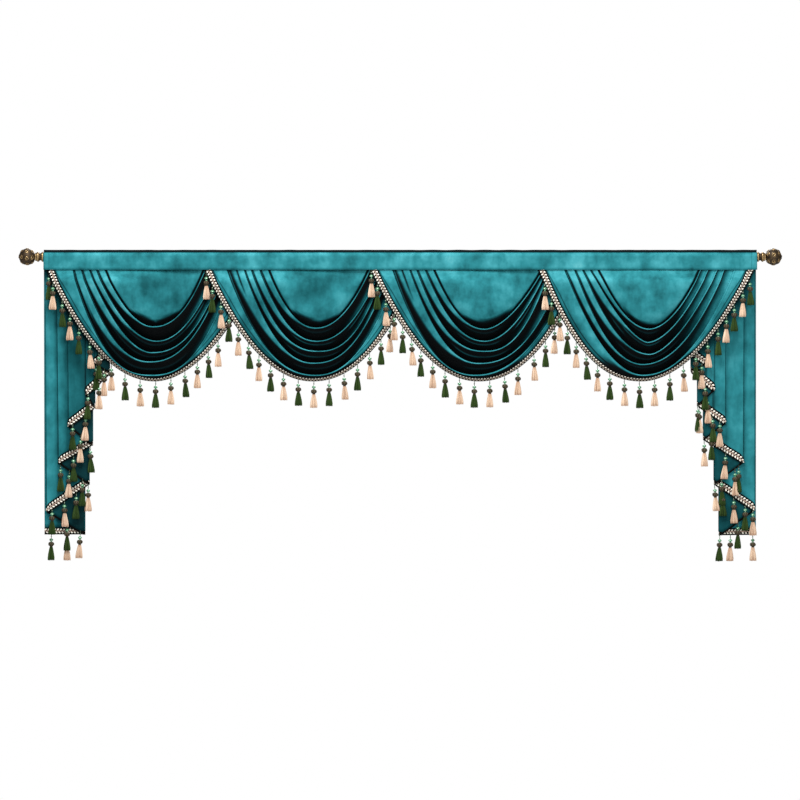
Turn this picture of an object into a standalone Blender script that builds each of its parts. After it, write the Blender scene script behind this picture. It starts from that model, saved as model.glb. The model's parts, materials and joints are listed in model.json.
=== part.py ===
"""Swag valance with two pleated tails, hung on a plain curtain rod.

Metres, +Z up. The origin is on the rod's axis at mid length, +X runs along the rod and the
front of the valance faces -Y.
"""
import math
from collections import namedtuple

import bmesh
import bpy
from mathutils import Vector

GAP = 0.0003                    # clearance between two pieces that touch

# Rod and finials
ROD_RADIUS = 0.014
ROD_HALF_LENGTH = 1.2475
ROD_SIDES = 20
FINIAL_BALL_RADIUS = 0.0305
FINIAL_COLLAR_RADIUS = 0.0175
FINIAL_WAIST_RADIUS = 0.0125
FINIAL_COLLAR_LENGTH = 0.0098
FINIAL_WAIST_LENGTH = 0.009
FINIAL_NECK_LENGTH = 0.0275     # rod end to the ball's skin
FINIAL_SIDES = 16
FINIAL_BALL_STEPS = 8

# Heading: a rod pocket with a standing edge above it
HEADING_HALF_LENGTH = 1.2475
HEADING_CLOTH = 0.0016
HEADING_TOP = 0.0238            # top of the standing edge
HEADING_BOTTOM = -0.0427        # under side of the seam that holds the swags
HEADING_FRONT_LIP = 0.003       # how far the front ply runs below that seam
HEADING_EDGE_THICKNESS = 0.0026
HEADING_ARC_STEPS = 10
SEAM = HEADING_BOTTOM - GAP     # top of every swag and tail

# Swags
SWAG_CLOTH = 0.0016
SWAG_HALF_WIDTH = 0.3658        # seam corner to centre, to the middle of the braid
SWAG_COLUMNS = 16
SWAG_UNDER = -0.003             # depth of a side that lies under its neighbour
SWAG_OVER = -0.0105             # depth of a side that lies over its neighbour
SWAG_FORWARD_START = 0.006      # drop at which a side begins to come forward
SWAG_FORWARD_DROP = 0.04        # further drop over which it does so
SWAG_FOLD_AT_SEAM = 0.0034      # fold depth where the pleats are stitched
SWAG_FOLD_AT_CENTRE = 0.028     # fold depth at the middle of the swag
HEM_ROUNDNESS = 2.03
SHARPEST_MITRE = 0.6            # cosine that limits how far a mitred corner reaches

# Braid and tassels
BRAID_WIDTH = 0.022
BRAID_THICKNESS = 0.003
BRAID_GAP = 0.0006              # braid to the cloth's edge, which twists beside it
TAIL_BRAID_THICKNESS = 0.002
BRAID_SIDE_INSET = 0.012        # middle of the braid to its edge, along the seam
BRAID_FOOT_DROP = 0.0056        # middle of the braid to its edge, at the swag's foot
BRAID_FOOT_TUCK = 0.019         # how far the braid turns back under the swag's foot
TASSEL_LENGTH = 0.091
TASSEL_ROOT = 0.003             # how far a tassel's string reaches into the braid
TASSEL_STAND_OFF = 0.004        # how far a swag's tassels hang in front of their braid
LOCK_SPLIT = 0.0012             # half the space between a tassel's two locks at the foot

# Tails
TAIL_CLOTH = 0.0012
TAIL_BACK = 0.0150              # depth of the rearmost pleat
TAIL_PITCH = 0.00165            # pleat to pleat at the seam
TAIL_PITCH_SLOPE = 0.004        # growth of that pitch with the drop
TAIL_PITCH_SPREAD = 0.0035      # growth with the drop squared
TAIL_ROWS = 6

# A swag's folds from the top panel to the hem, at the swag's centre line:
# inset along the seam from the corner, drop below the seam, roundness of the curve, and
# how far out the fold stands (0 in a recess, 1 on a crest).
Fold = namedtuple("Fold", "inset drop roundness out")
SWAG_FOLDS = (
    Fold(0.2000, 0.000, 2.00, 0.50),
    Fold(0.1970, 0.110, 1.90, 0.85),
    Fold(0.1928, 0.205, 1.80, 0.00),
    Fold(0.1880, 0.203, 1.80, 1.00),
    Fold(0.1750, 0.232, 1.75, 0.62),
    Fold(0.1610, 0.257, 1.70, 0.00),
    Fold(0.1565, 0.254, 1.70, 1.00),
    Fold(0.1470, 0.276, 1.78, 0.62),
    Fold(0.1360, 0.296, 1.85, 0.00),
    Fold(0.1320, 0.293, 1.85, 1.00),
    Fold(0.1220, 0.310, 2.10, 0.62),
    Fold(0.1085, 0.327, 2.35, 0.00),
    Fold(0.1040, 0.3234, 2.40, 1.00),
    Fold(0.0940, 0.350, 2.50, 0.62),
    Fold(0.0815, 0.3700, 2.40, 0.20),
    Fold(0.0760, 0.3680, 2.40, 1.00),
    Fold(0.0440, 0.3745, 2.20, 0.92),
    Fold(0.0120, 0.3808, HEM_ROUNDNESS, 0.80),
)

# The four swags: centre, how far each side stands out below the seam (a side that stands
# out lies over its neighbour, the other one under it), and their tassels: the first and
# last tassel as a share of the half width, and the number of them.
Swag = namedtuple("Swag", "centre out_left out_right first_tassel last_tassel tassels")
SWAGS = (
    Swag(-0.8586, 0.034, 0.000, -0.972, 0.594, 16),
    Swag(-0.3073, 0.026, 0.000, -0.975, 0.728, 17),
    Swag(0.2730, 0.026, 0.000, -0.975, 0.716, 17),
    Swag(0.8600, 0.026, 0.034, -0.950, 0.962, 20),
)

# A tail's pleats from its rear outer edge to its front inner one: inset from the heading's
# end at the seam and at the hem, drop of the braid's middle, and for the panel that starts
# here, how far its tassels hang in front of it and where, as shares of the panel.
Pleat = namedtuple("Pleat", "inset_top inset_hem drop stand_off tassels")
TAIL_LEFT = (
    Pleat(0.0010, 0.0010, 0.9170, 0.008, (0.17, 0.55)),
    Pleat(0.1440, 0.1440, 0.9170, 0.008, (0.12, 0.46)),
    Pleat(0.0075, 0.0090, 0.8380, 0.008, (0.14, 0.42, 0.70, 0.97)),
    Pleat(0.1580, 0.1600, 0.7400, 0.004, (0.22, 0.64, 0.93)),
    Pleat(0.0440, 0.0510, 0.6680, 0.008, (0.44, 0.92)),
    Pleat(0.1700, 0.1730, 0.6030, 0.006, (0.50,)),
    Pleat(0.0810, 0.0870, 0.5390, 0.008, (0.17, 0.66)),
    Pleat(0.1790, 0.1810, 0.4720, 0.000, ()),
    Pleat(0.1440, 0.1490, 0.4280, 0.008, (0.10, 0.55)),
    Pleat(0.2320, 0.2330, 0.3500, 0.004, (0.36,)),
    Pleat(0.1760, 0.1790, 0.3240, 0.004, (0.10,)),
    Pleat(0.2450, 0.2450, 0.2800, 0.000, ()),
)
TAIL_RIGHT = (
    Pleat(0.0010, 0.0015, 0.9185, 0.008, (0.17, 0.55)),
    Pleat(0.1330, 0.1330, 0.9200, 0.008, (0.14, 0.50)),
    Pleat(0.0065, 0.0050, 0.8330, 0.008, (0.12, 0.40, 0.68, 0.96)),
    Pleat(0.1500, 0.1510, 0.7400, 0.004, (0.26, 0.66, 0.95)),
    Pleat(0.0440, 0.0470, 0.6660, 0.008, (0.44, 0.90)),
    Pleat(0.1860, 0.1890, 0.5840, 0.006, (0.40,)),
    Pleat(0.1080, 0.1110, 0.5300, 0.008, (0.20, 0.70)),
    Pleat(0.2080, 0.2100, 0.4650, 0.000, ()),
    Pleat(0.1460, 0.1510, 0.4140, 0.008, (0.10, 0.55)),
    Pleat(0.2320, 0.2330, 0.3440, 0.004, (0.36,)),
    Pleat(0.1760, 0.1790, 0.3240, 0.004, (0.10,)),
    Pleat(0.2450, 0.2450, 0.2800, 0.000, ()),
)

# A tassel from its string to its ball: drop as a share of its length, and half widths
# along the braid and from front to back.
Ring = namedtuple("Ring", "drop across through")
TASSEL_RINGS = (
    Ring(0.27, 0.0024, 0.0022),
    Ring(0.36, 0.0098, 0.0068),
    Ring(0.455, 0.0052, 0.0040),
)
TASSEL_FOOT = Ring(1.0, 0.0130, 0.0052)

Finish = namedtuple("Finish", "colour roughness metallic")
VELVET = Finish((0.03, 0.25, 0.28), 0.85, 0.0)
BRAID = Finish((0.45, 0.33, 0.25), 0.75, 0.0)
BRONZE = Finish((0.22, 0.14, 0.06), 0.40, 0.9)


def clear_scene():
    for thing in list(bpy.data.objects):
        bpy.data.objects.remove(thing, do_unlink=True)


def make_material(name, finish):
    material = bpy.data.materials.new(name)
    material.use_nodes = True
    shader = material.node_tree.nodes["Principled BSDF"]
    shader.inputs["Base Color"].default_value = (*finish.colour, 1.0)
    shader.inputs["Roughness"].default_value = finish.roughness
    shader.inputs["Metallic"].default_value = finish.metallic
    return material


def add_object(name, mesh_data, finish, parent):
    mesh = bpy.data.meshes.new(name)
    mesh_data.to_mesh(mesh)
    mesh_data.free()
    mesh.shade_smooth()
    mesh.set_sharp_from_angle(angle=math.radians(40.0))
    mesh.materials.append(make_material(name + "_finish", finish))
    piece = bpy.data.objects.new(name, mesh)
    piece.parent = parent
    bpy.context.scene.collection.objects.link(piece)
    return piece


def smooth_step(value):
    share = min(max(value, 0.0), 1.0)
    return share * share * (3.0 - 2.0 * share)


def mix(first, second, share):
    return first + (second - first) * share


def turned_solid(profile, sides):
    """Solid of revolution about X from (x, radius) points; the first and last are on X."""
    solid = bmesh.new()
    start = solid.verts.new((profile[0][0], 0.0, 0.0))
    end = solid.verts.new((profile[-1][0], 0.0, 0.0))
    rings = []
    for along, radius in profile[1:-1]:
        ring = []
        for step in range(sides):
            angle = 2.0 * math.pi * step / sides
            place = (along, radius * math.cos(angle), radius * math.sin(angle))
            ring.append(solid.verts.new(place))
        rings.append(ring)
    for step in range(sides):
        following = (step + 1) % sides
        solid.faces.new((start, rings[0][step], rings[0][following]))
        solid.faces.new((end, rings[-1][following], rings[-1][step]))
        for ring, next_ring in zip(rings, rings[1:]):
            solid.faces.new((ring[step], next_ring[step], next_ring[following], ring[following]))
    bmesh.ops.recalc_face_normals(solid, faces=solid.faces)
    return solid


def build_rod(parent):
    profile = (
        (-ROD_HALF_LENGTH, 0.0),
        (-ROD_HALF_LENGTH, ROD_RADIUS),
        (ROD_HALF_LENGTH, ROD_RADIUS),
        (ROD_HALF_LENGTH, 0.0),
    )
    add_object("rod", turned_solid(profile, ROD_SIDES), BRONZE, parent)


def finial_profile():
    """Points (x, radius) from the rod's end outwards: collar, waist, collar and ball."""
    second_collar = FINIAL_COLLAR_LENGTH + FINIAL_WAIST_LENGTH
    ball_centre = FINIAL_NECK_LENGTH + FINIAL_BALL_RADIUS
    profile = [
        (0.0, 0.0),
        (0.0, FINIAL_COLLAR_RADIUS),
        (FINIAL_COLLAR_LENGTH, FINIAL_COLLAR_RADIUS),
        (FINIAL_COLLAR_LENGTH + 0.2 * FINIAL_WAIST_LENGTH, FINIAL_WAIST_RADIUS),
        (second_collar - 0.2 * FINIAL_WAIST_LENGTH, FINIAL_WAIST_RADIUS),
        (second_collar, FINIAL_COLLAR_RADIUS),
    ]
    first_angle = math.asin(FINIAL_COLLAR_RADIUS / FINIAL_BALL_RADIUS)
    for step in range(FINIAL_BALL_STEPS):
        angle = mix(first_angle, math.pi, step / FINIAL_BALL_STEPS)
        along = ball_centre - FINIAL_BALL_RADIUS * math.cos(angle)
        profile.append((along, FINIAL_BALL_RADIUS * math.sin(angle)))
    profile.append((ball_centre + FINIAL_BALL_RADIUS, 0.0))
    return profile


def build_finial(name, side, parent):
    solid = turned_solid(finial_profile(), FINIAL_SIDES)
    for vert in solid.verts:
        vert.co.x = side * (ROD_HALF_LENGTH + GAP + vert.co.x)
    bmesh.ops.recalc_face_normals(solid, faces=solid.faces)
    add_object(name, solid, BRONZE, parent)


def prism(outline, half_length):
    """Straight bar along X with the closed (y, z) outline as its section."""
    solid = bmesh.new()
    ends = []
    for along in (-half_length, half_length):
        ends.append([solid.verts.new((along, depth, height)) for depth, height in outline])
    solid.faces.new(ends[0])
    solid.faces.new(list(reversed(ends[1])))
    count = len(outline)
    for step in range(count):
        following = (step + 1) % count
        solid.faces.new((ends[0][step], ends[1][step], ends[1][following], ends[0][following]))
    bmesh.ops.recalc_face_normals(solid, faces=solid.faces)
    return solid


def pocket_arc(radius):
    """Half circle over the rod, from front to back."""
    arc = []
    for step in range(HEADING_ARC_STEPS + 1):
        angle = math.pi * step / HEADING_ARC_STEPS
        arc.append((-radius * math.cos(angle), radius * math.sin(angle)))
    return arc


def build_heading(parent):
    inner = ROD_RADIUS + GAP
    outer = inner + HEADING_CLOTH
    half_edge = 0.5 * HEADING_EDGE_THICKNESS
    foot = HEADING_BOTTOM + HEADING_CLOTH
    arc = pocket_arc(outer)
    middle = HEADING_ARC_STEPS // 2
    edge_root = math.sqrt(outer * outer - half_edge * half_edge)
    standing_edge = [
        (-half_edge, edge_root),
        (-half_edge, HEADING_TOP),
        (half_edge, HEADING_TOP),
        (half_edge, edge_root),
    ]
    outline = arc[:middle] + standing_edge + arc[middle + 1:]
    outline += [
        (outer, HEADING_BOTTOM),
        (-inner, HEADING_BOTTOM),
        (-inner, HEADING_BOTTOM - HEADING_FRONT_LIP),
        (-outer, HEADING_BOTTOM - HEADING_FRONT_LIP),
    ]
    hollow = pocket_arc(inner) + [(inner, foot), (-inner, foot)]
    heading = add_object("heading", prism(outline, HEADING_HALF_LENGTH), VELVET, parent)
    cutter = add_object("rod_pocket", prism(hollow, HEADING_HALF_LENGTH * 1.1), VELVET, parent)
    cutter.hide_render = True
    cutter.display_type = "WIRE"
    cut = heading.modifiers.new("pocket", "BOOLEAN")
    cut.operation = "DIFFERENCE"
    cut.solver = "EXACT"
    cut.object = cutter


def mitred_normal(first, second):
    """Halfway between two faces' normals, longer where they meet at a sharper fold."""
    middle = (first + second).normalized()
    return middle / max(middle.dot(first), SHARPEST_MITRE)


def grid_normals(grid):
    """Mitred normals of a grid of points, facing the front."""
    normals = []
    last_row = len(grid) - 1
    last_column = len(grid[0]) - 1
    for row, points in enumerate(grid):
        normals.append([])
        for column, point in enumerate(points):
            across = points[min(column + 1, last_column)] - points[max(column - 1, 0)]
            above = point - grid[max(row - 1, 0)][column]
            below = grid[min(row + 1, last_row)][column] - point
            if row == 0:
                above = below
            if row == last_row:
                below = above
            upper_normal = across.cross(above).normalized()
            lower_normal = across.cross(below).normalized()
            normals[row].append(mitred_normal(upper_normal, lower_normal))
    return normals


def level_at_seam(point, normal):
    """Keep a seam point's thickness level, so that no corner rises above the seam."""
    if point.z < SEAM - GAP:
        return normal
    return Vector((normal.x, normal.y, 0.0)).normalized() * normal.length


def sheet_solid(solid, grid, normals, thickness):
    """Add a closed sheet: the grid's points moved half the thickness to each side."""
    half = 0.5 * thickness
    sides = []
    for sign in (1.0, -1.0):
        side = []
        for points, row_normals in zip(grid, normals):
            side.append([
                solid.verts.new(point + level_at_seam(point, normal) * (sign * half))
                for point, normal in zip(points, row_normals)
            ])
        sides.append(side)
    front, back = sides
    rows = len(grid)
    columns = len(grid[0])
    for row in range(rows - 1):
        for column in range(columns - 1):
            corners = ((row, column), (row, column + 1), (row + 1, column + 1), (row + 1, column))
            for half_quad in ((corners[0], corners[1], corners[2]),
                              (corners[0], corners[2], corners[3])):
                solid.faces.new([front[i][j] for i, j in half_quad])
                solid.faces.new([back[i][j] for i, j in reversed(half_quad)])
    rim = [(0, column) for column in range(columns)]
    rim += [(row, columns - 1) for row in range(1, rows)]
    rim += [(rows - 1, column) for column in range(columns - 2, -1, -1)]
    rim += [(row, 0) for row in range(rows - 2, 0, -1)]
    for (i, j), (k, m) in zip(rim, rim[1:] + rim[:1]):
        solid.faces.new((front[k][m], front[i][j], back[i][j]))
        solid.faces.new((front[k][m], back[i][j], back[k][m]))
    bmesh.ops.recalc_face_normals(solid, faces=solid.faces)


def swag_point(swag, share, half_width, drop, roundness, out):
    """Point of a swag on one fold line, at a share of its half width (-1 to 1)."""
    fall = drop * (1.0 - abs(share) ** roundness)
    rightward = smooth_step(0.5 * (share + 1.0))
    left = SWAG_OVER if swag.out_left else SWAG_UNDER
    right = SWAG_OVER if swag.out_right else SWAG_UNDER
    out_below = mix(swag.out_left, swag.out_right, rightward)
    forward = smooth_step((fall - SWAG_FORWARD_START) / SWAG_FORWARD_DROP)
    depth = mix(left, right, rightward) - out_below * forward
    fold_depth = mix(SWAG_FOLD_AT_CENTRE, SWAG_FOLD_AT_SEAM, share * share)
    depth -= (out - 0.5) * fold_depth
    return Vector((swag.centre + half_width * share, depth, SEAM - fall))


def swag_columns():
    """Shares of the half width, closest together near the seam, where the hem is steep."""
    quarter = 0.5 * math.pi
    return [
        math.sin(quarter * (2.0 * column / SWAG_COLUMNS - 1.0))
        for column in range(SWAG_COLUMNS + 1)
    ]


def between_columns(points, share):
    """Point at a share of the half width on the straight runs between the columns."""
    shares = swag_columns()
    for left, right, before, after in zip(shares, shares[1:], points, points[1:]):
        if share <= right:
            return before.lerp(after, (share - left) / (right - left))
    return points[-1]


def hem_point(swag, share):
    """Edge of the swag's cloth, where its braid begins."""
    hem = SWAG_FOLDS[-1]
    return swag_point(swag, share, SWAG_HALF_WIDTH - hem.inset, hem.drop, hem.roundness, hem.out)


def braid_foot(swag, share):
    """Outer edge of the swag's braid, which turns back under the foot of the swag."""
    hem = SWAG_FOLDS[-1]
    drop = hem.drop + 2.0 * BRAID_FOOT_DROP
    half_width = SWAG_HALF_WIDTH + BRAID_SIDE_INSET
    point = swag_point(swag, share, half_width, drop, hem.roundness, hem.out)
    point.y = hem_point(swag, share).y + BRAID_FOOT_TUCK * math.sqrt(1.0 - share * share)
    return point


def braid_normals(swag):
    normals = []
    for share in swag_columns():
        ahead = hem_point(swag, min(share + 0.02, 1.0))
        behind = hem_point(swag, max(share - 0.02, -1.0))
        width = braid_foot(swag, share) - hem_point(swag, share)
        normals.append((ahead - behind).cross(width).normalized())
    return normals


def build_swag(name, swag, parent):
    grid = []
    for fold in SWAG_FOLDS:
        half_width = SWAG_HALF_WIDTH - fold.inset
        grid.append([
            swag_point(swag, share, half_width, fold.drop, fold.roundness, fold.out)
            for share in swag_columns()
        ])
    normals = grid_normals(grid)
    normals[-1] = braid_normals(swag)
    solid = bmesh.new()
    sheet_solid(solid, grid, normals, SWAG_CLOTH)
    add_object(name, solid, VELVET, parent)


def add_tassel(solid, root, stand_off):
    """One tassel: string, bead, ball and a skirt of two locks that share a root."""
    rings = [(root, 0.0011, 0.0009)]
    for ring in TASSEL_RINGS:
        place = root + Vector((0.0, -stand_off, -TASSEL_LENGTH * ring.drop))
        rings.append((place, ring.across, ring.through))
    loops = []
    for place, across, through in rings:
        corners = ((-across, -through), (across, -through), (across, through), (-across, through))
        loops.append([solid.verts.new(place + Vector((x, y, 0.0))) for x, y in corners])
    solid.faces.new(loops[0])
    for upper, lower in zip(loops[:-1], loops[1:-1]):
        for step in range(4):
            following = (step + 1) % 4
            solid.faces.new((upper[following], upper[step], lower[step], lower[following]))
    neck, through = rings[-1][0], rings[-1][2]
    front_mid = solid.verts.new(neck + Vector((0.0, -through, 0.0)))
    back_mid = solid.verts.new(neck + Vector((0.0, through, 0.0)))
    upper, lower = loops[-2], loops[-1]
    solid.faces.new((upper[1], upper[0], lower[0], front_mid, lower[1]))
    solid.faces.new((upper[2], upper[1], lower[1], lower[2]))
    solid.faces.new((upper[3], upper[2], lower[2], back_mid, lower[3]))
    solid.faces.new((upper[0], upper[3], lower[3], lower[0]))
    foot = root + Vector((0.0, -stand_off, -TASSEL_LENGTH))
    for side, root_loop in ((-1.0, (lower[0], front_mid, back_mid, lower[3])),
                            (1.0, (lower[1], lower[2], back_mid, front_mid))):
        inner = side * LOCK_SPLIT
        outer = side * TASSEL_FOOT.across
        depth = TASSEL_FOOT.through
        if side < 0.0:
            feet = ((outer, -depth), (inner, -depth), (inner, depth), (outer, depth))
        else:
            feet = ((outer, -depth), (outer, depth), (inner, depth), (inner, -depth))
        tips = [solid.verts.new(foot + Vector((x, y, 0.0))) for x, y in feet]
        for step in range(4):
            following = (step + 1) % 4
            solid.faces.new((root_loop[following], root_loop[step], tips[step], tips[following]))
        solid.faces.new(list(reversed(tips)))


def join_tassels(name, strip, roots, parent):
    """Make the braid with its tassels grown into it as one solid."""
    braid = add_object(name, strip, BRAID, parent)
    tassels = bmesh.new()
    for root, stand_off in roots:
        add_tassel(tassels, root, stand_off)
    bmesh.ops.recalc_face_normals(tassels, faces=tassels.faces)
    cutter = add_object(name + "_tassels", tassels, BRAID, parent)
    cutter.hide_render = True
    cutter.display_type = "WIRE"
    union = braid.modifiers.new("tassels", "BOOLEAN")
    union.operation = "UNION"
    union.solver = "EXACT"
    union.use_self = True
    union.object = cutter


def evenly_along(swag):
    """Shares of the half width at which a swag's tassels hang, evenly along its braid."""
    steps = 400
    shares = [
        mix(swag.first_tassel, swag.last_tassel, step / steps) for step in range(steps + 1)
    ]
    points = [braid_foot(swag, share) for share in shares]
    runs = [0.0]
    for before, after in zip(points, points[1:]):
        runs.append(runs[-1] + (after - before).length)
    spacing = runs[-1] / (swag.tassels - 1)
    chosen = []
    for number in range(swag.tassels):
        nearest = min(range(steps + 1), key=lambda step: abs(runs[step] - number * spacing))
        chosen.append(shares[nearest])
    return chosen


def build_swag_trim(name, swag, parent):
    upper = []
    lower = []
    for share in swag_columns():
        top = hem_point(swag, share)
        foot = braid_foot(swag, share)
        width = (foot - top).normalized()
        upper.append(top + width * BRAID_GAP)
        lower.append(foot)
    normals = braid_normals(swag)
    strip = bmesh.new()
    sheet_solid(strip, [upper, lower], [normals, normals], BRAID_THICKNESS)
    roots = []
    for share in evenly_along(swag):
        top = between_columns(upper, share)
        foot = between_columns(lower, share)
        width = (foot - top).normalized()
        roots.append((foot - width * TASSEL_ROOT, TASSEL_STAND_OFF))
    join_tassels(name, strip, roots, parent)


def tail_depth(layer, drop):
    pitch = TAIL_PITCH + TAIL_PITCH_SLOPE * drop + TAIL_PITCH_SPREAD * drop * drop
    return TAIL_BACK - layer * pitch


def tail_columns(pleats):
    """Columns (pleat number, share, layer, turn) along the folded cloth.

    Layer is the panel's number from the back, in halves where the cloth turns round a
    fold, and turn is how far the column stands out past the panel's end, in pitches.
    """
    columns = []
    panels = len(pleats) - 1
    for panel in range(panels):
        columns.append((panel, 0.0, float(panel), -0.5 if panel else 0.0))
        columns.append((panel, 1.0, float(panel), -0.5 if panel < panels - 1 else 0.0))
        if panel < panels - 1:
            columns.append((panel, 1.0, panel + 0.5, 0.0))
    return columns


def tail_point(pleats, side, column, drop, share_down):
    panel, share, layer, turn = column
    start, end = pleats[panel], pleats[panel + 1]
    top = mix(start.inset_top, end.inset_top, share)
    hem = mix(start.inset_hem, end.inset_hem, share)
    inset = mix(top, hem, share_down)
    pitch = tail_depth(0.0, drop) - tail_depth(1.0, drop)
    outward = math.copysign(1.0, end.inset_top - start.inset_top)
    if share < 0.5:
        outward = -outward
    inset += outward * turn * pitch
    return Vector((side * (HEADING_HALF_LENGTH - inset), tail_depth(layer, drop), SEAM - drop))


def braid_drop(pleats, panel, share):
    """Drop of the middle of the braid, and its height where the hem slopes."""
    start, end = pleats[panel], pleats[panel + 1]
    run = abs(end.inset_hem - start.inset_hem)
    height = BRAID_WIDTH * math.hypot(run, end.drop - start.drop) / run
    return mix(start.drop, end.drop, share), height


def column_braid(pleats, column):
    """Braid middle and height on a column; both panels share them at a fold."""
    panel, share = column[0], column[1]
    middle, height = braid_drop(pleats, panel, share)
    neighbour = panel + (1 if share > 0.5 else -1)
    if 0 <= neighbour < len(pleats) - 1:
        height = 0.5 * (height + braid_drop(pleats, neighbour, 0.0)[1])
    return middle, min(height, 1.25 * BRAID_WIDTH)


def plan_normals(points):
    """Normals of a folded line in plan, each square to its two neighbours' chord."""
    normals = []
    last = len(points) - 1
    for step in range(len(points)):
        chord = points[min(step + 1, last)] - points[max(step - 1, 0)]
        normals.append(Vector((chord.y, -chord.x, 0.0)).normalized())
    return normals


def build_tail(name, pleats, side, parent):
    columns = tail_columns(pleats)
    grid = []
    normals = []
    for row in range(TAIL_ROWS + 1):
        share_down = row / TAIL_ROWS
        points = []
        for column in columns:
            middle, height = column_braid(pleats, column)
            drop = share_down * (middle - 0.5 * height)
            points.append(tail_point(pleats, side, column, drop, share_down))
        grid.append(points)
        normals.append(plan_normals(points))
    solid = bmesh.new()
    sheet_solid(solid, grid, normals, TAIL_CLOTH)
    add_object(name, solid, VELVET, parent)


def build_tail_trim(name, pleats, side, parent):
    columns = tail_columns(pleats)
    upper = []
    lower = []
    for column in columns:
        middle, height = column_braid(pleats, column)
        upper.append(tail_point(pleats, side, column, middle - 0.5 * height + GAP, 1.0))
        lower.append(tail_point(pleats, side, column, middle + 0.5 * height, 1.0))
    strip = bmesh.new()
    sheet_solid(strip, [upper, lower], [plan_normals(upper), plan_normals(lower)],
                TAIL_BRAID_THICKNESS)
    roots = []
    for panel, pleat in enumerate(pleats):
        for share in pleat.tassels:
            middle, height = braid_drop(pleats, panel, share)
            drop = middle + 0.5 * min(height, 1.25 * BRAID_WIDTH) - TASSEL_ROOT
            place = tail_point(pleats, side, (panel, share, float(panel), 0.0), drop, 1.0)
            roots.append((place, pleat.stand_off))
    join_tassels(name, strip, roots, parent)


def main():
    clear_scene()
    valance = bpy.data.objects.new("valance_frame", None)
    bpy.context.scene.collection.objects.link(valance)
    build_rod(valance)
    build_finial("finial_left", -1.0, valance)
    build_finial("finial_right", 1.0, valance)
    build_heading(valance)
    for number, swag in enumerate(SWAGS, start=1):
        build_swag(f"swag_{number}", swag, valance)
        build_swag_trim(f"swag_trim_{number}", swag, valance)
    for word, side, pleats in (("left", -1.0, TAIL_LEFT), ("right", 1.0, TAIL_RIGHT)):
        build_tail(f"tail_{word}", pleats, side, valance)
        build_tail_trim(f"tail_trim_{word}", pleats, side, valance)
    bpy.context.view_layer.update()


main()
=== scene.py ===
"""Dresses a swag valance: cut velvet, gimp braid, beaded tassels and antique bronze.

Metres, +Z up. The origin is on the rod's axis at mid length, +X runs along the rod and the
front of the valance faces -Y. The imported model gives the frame; each cloth, trim and finial
made here stands for the node of the same place.
"""
import json
import logging
import math
from dataclasses import astuple, dataclass, field, replace
from enum import Enum
from typing import Callable, Optional, Sequence, Union

import bpy
import numpy as np
from mathutils import Matrix, Vector, noise

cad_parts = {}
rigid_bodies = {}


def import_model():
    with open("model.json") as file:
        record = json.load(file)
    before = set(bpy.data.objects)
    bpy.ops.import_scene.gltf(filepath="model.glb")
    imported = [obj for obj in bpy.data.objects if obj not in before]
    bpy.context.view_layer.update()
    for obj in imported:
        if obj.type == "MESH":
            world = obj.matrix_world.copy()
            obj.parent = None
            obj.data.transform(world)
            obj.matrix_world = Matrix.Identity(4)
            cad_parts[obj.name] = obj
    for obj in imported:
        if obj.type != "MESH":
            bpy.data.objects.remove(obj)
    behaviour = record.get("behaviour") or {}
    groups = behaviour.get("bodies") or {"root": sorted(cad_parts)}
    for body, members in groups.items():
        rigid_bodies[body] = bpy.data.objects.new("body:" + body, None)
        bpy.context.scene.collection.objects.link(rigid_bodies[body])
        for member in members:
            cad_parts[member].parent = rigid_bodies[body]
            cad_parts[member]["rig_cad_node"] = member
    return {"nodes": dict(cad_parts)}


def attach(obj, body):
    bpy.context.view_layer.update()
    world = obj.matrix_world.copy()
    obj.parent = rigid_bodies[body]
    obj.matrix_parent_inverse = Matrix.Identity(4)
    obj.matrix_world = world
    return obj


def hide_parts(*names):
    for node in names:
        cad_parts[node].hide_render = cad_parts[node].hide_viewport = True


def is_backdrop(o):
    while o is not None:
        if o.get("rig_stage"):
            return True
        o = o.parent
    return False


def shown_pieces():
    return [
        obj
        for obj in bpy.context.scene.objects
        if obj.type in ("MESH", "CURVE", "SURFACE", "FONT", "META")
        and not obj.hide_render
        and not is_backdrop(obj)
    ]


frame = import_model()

LOG = logging.getLogger("valance")
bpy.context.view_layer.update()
FULL_TURN = 2.0 * math.pi
SEAM = -0.0430  # top of every swag and tail
CLOTH = 0.0012  # how thick the velvet is
BACK_DARKNESS = 0.42  # how dark the back of the cloth is, at least
TRIM_EDGE = math.radians(55.0)  # edges of the trims sharper than this stay sharp

Number = Union[float, "Signal"]
Values = Union[float, np.ndarray]
Place = tuple[float, float, float]
Colour = tuple[float, float, float]
Column = tuple[int, float, float, float]
Material = bpy.types.Material
Piece = bpy.types.Object


# Shader kit


class Signal:
    """A shader value that takes part in Python arithmetic by adding Math nodes."""

    def __init__(self, board: "Board", socket: bpy.types.NodeSocket) -> None:
        """Wrap one output socket of a material's node tree."""
        self.board = board
        self.socket = socket

    def _math(self, operation: str, first: Number, second: Number = 0.0) -> "Signal":
        """Join two values with one Math node.

        Args:
            operation: the Math node's operation.
            first: its first value or link.
            second: its second value or link.

        Returns:
            The node's result.
        """
        return self.board.node("ShaderNodeMath", {"operation": operation}, first, second)

    def __add__(self, other: Number) -> "Signal":
        """Sum."""
        return self._math("ADD", self, other)

    __radd__ = __add__

    def __mul__(self, other: Number) -> "Signal":
        """Product."""
        return self._math("MULTIPLY", self, other)

    __rmul__ = __mul__

    def __sub__(self, other: Number) -> "Signal":
        """Difference."""
        return self._math("SUBTRACT", self, other)

    def __rsub__(self, other: Number) -> "Signal":
        """Reflected difference, so that 1 - mask works."""
        return self._math("SUBTRACT", other, self)

    def limited(self) -> "Signal":
        """The value held between 0 and 1."""
        clamp = {"operation": "ADD", "use_clamp": True}
        return self.board.node("ShaderNodeMath", clamp, self, 0.0)


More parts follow.
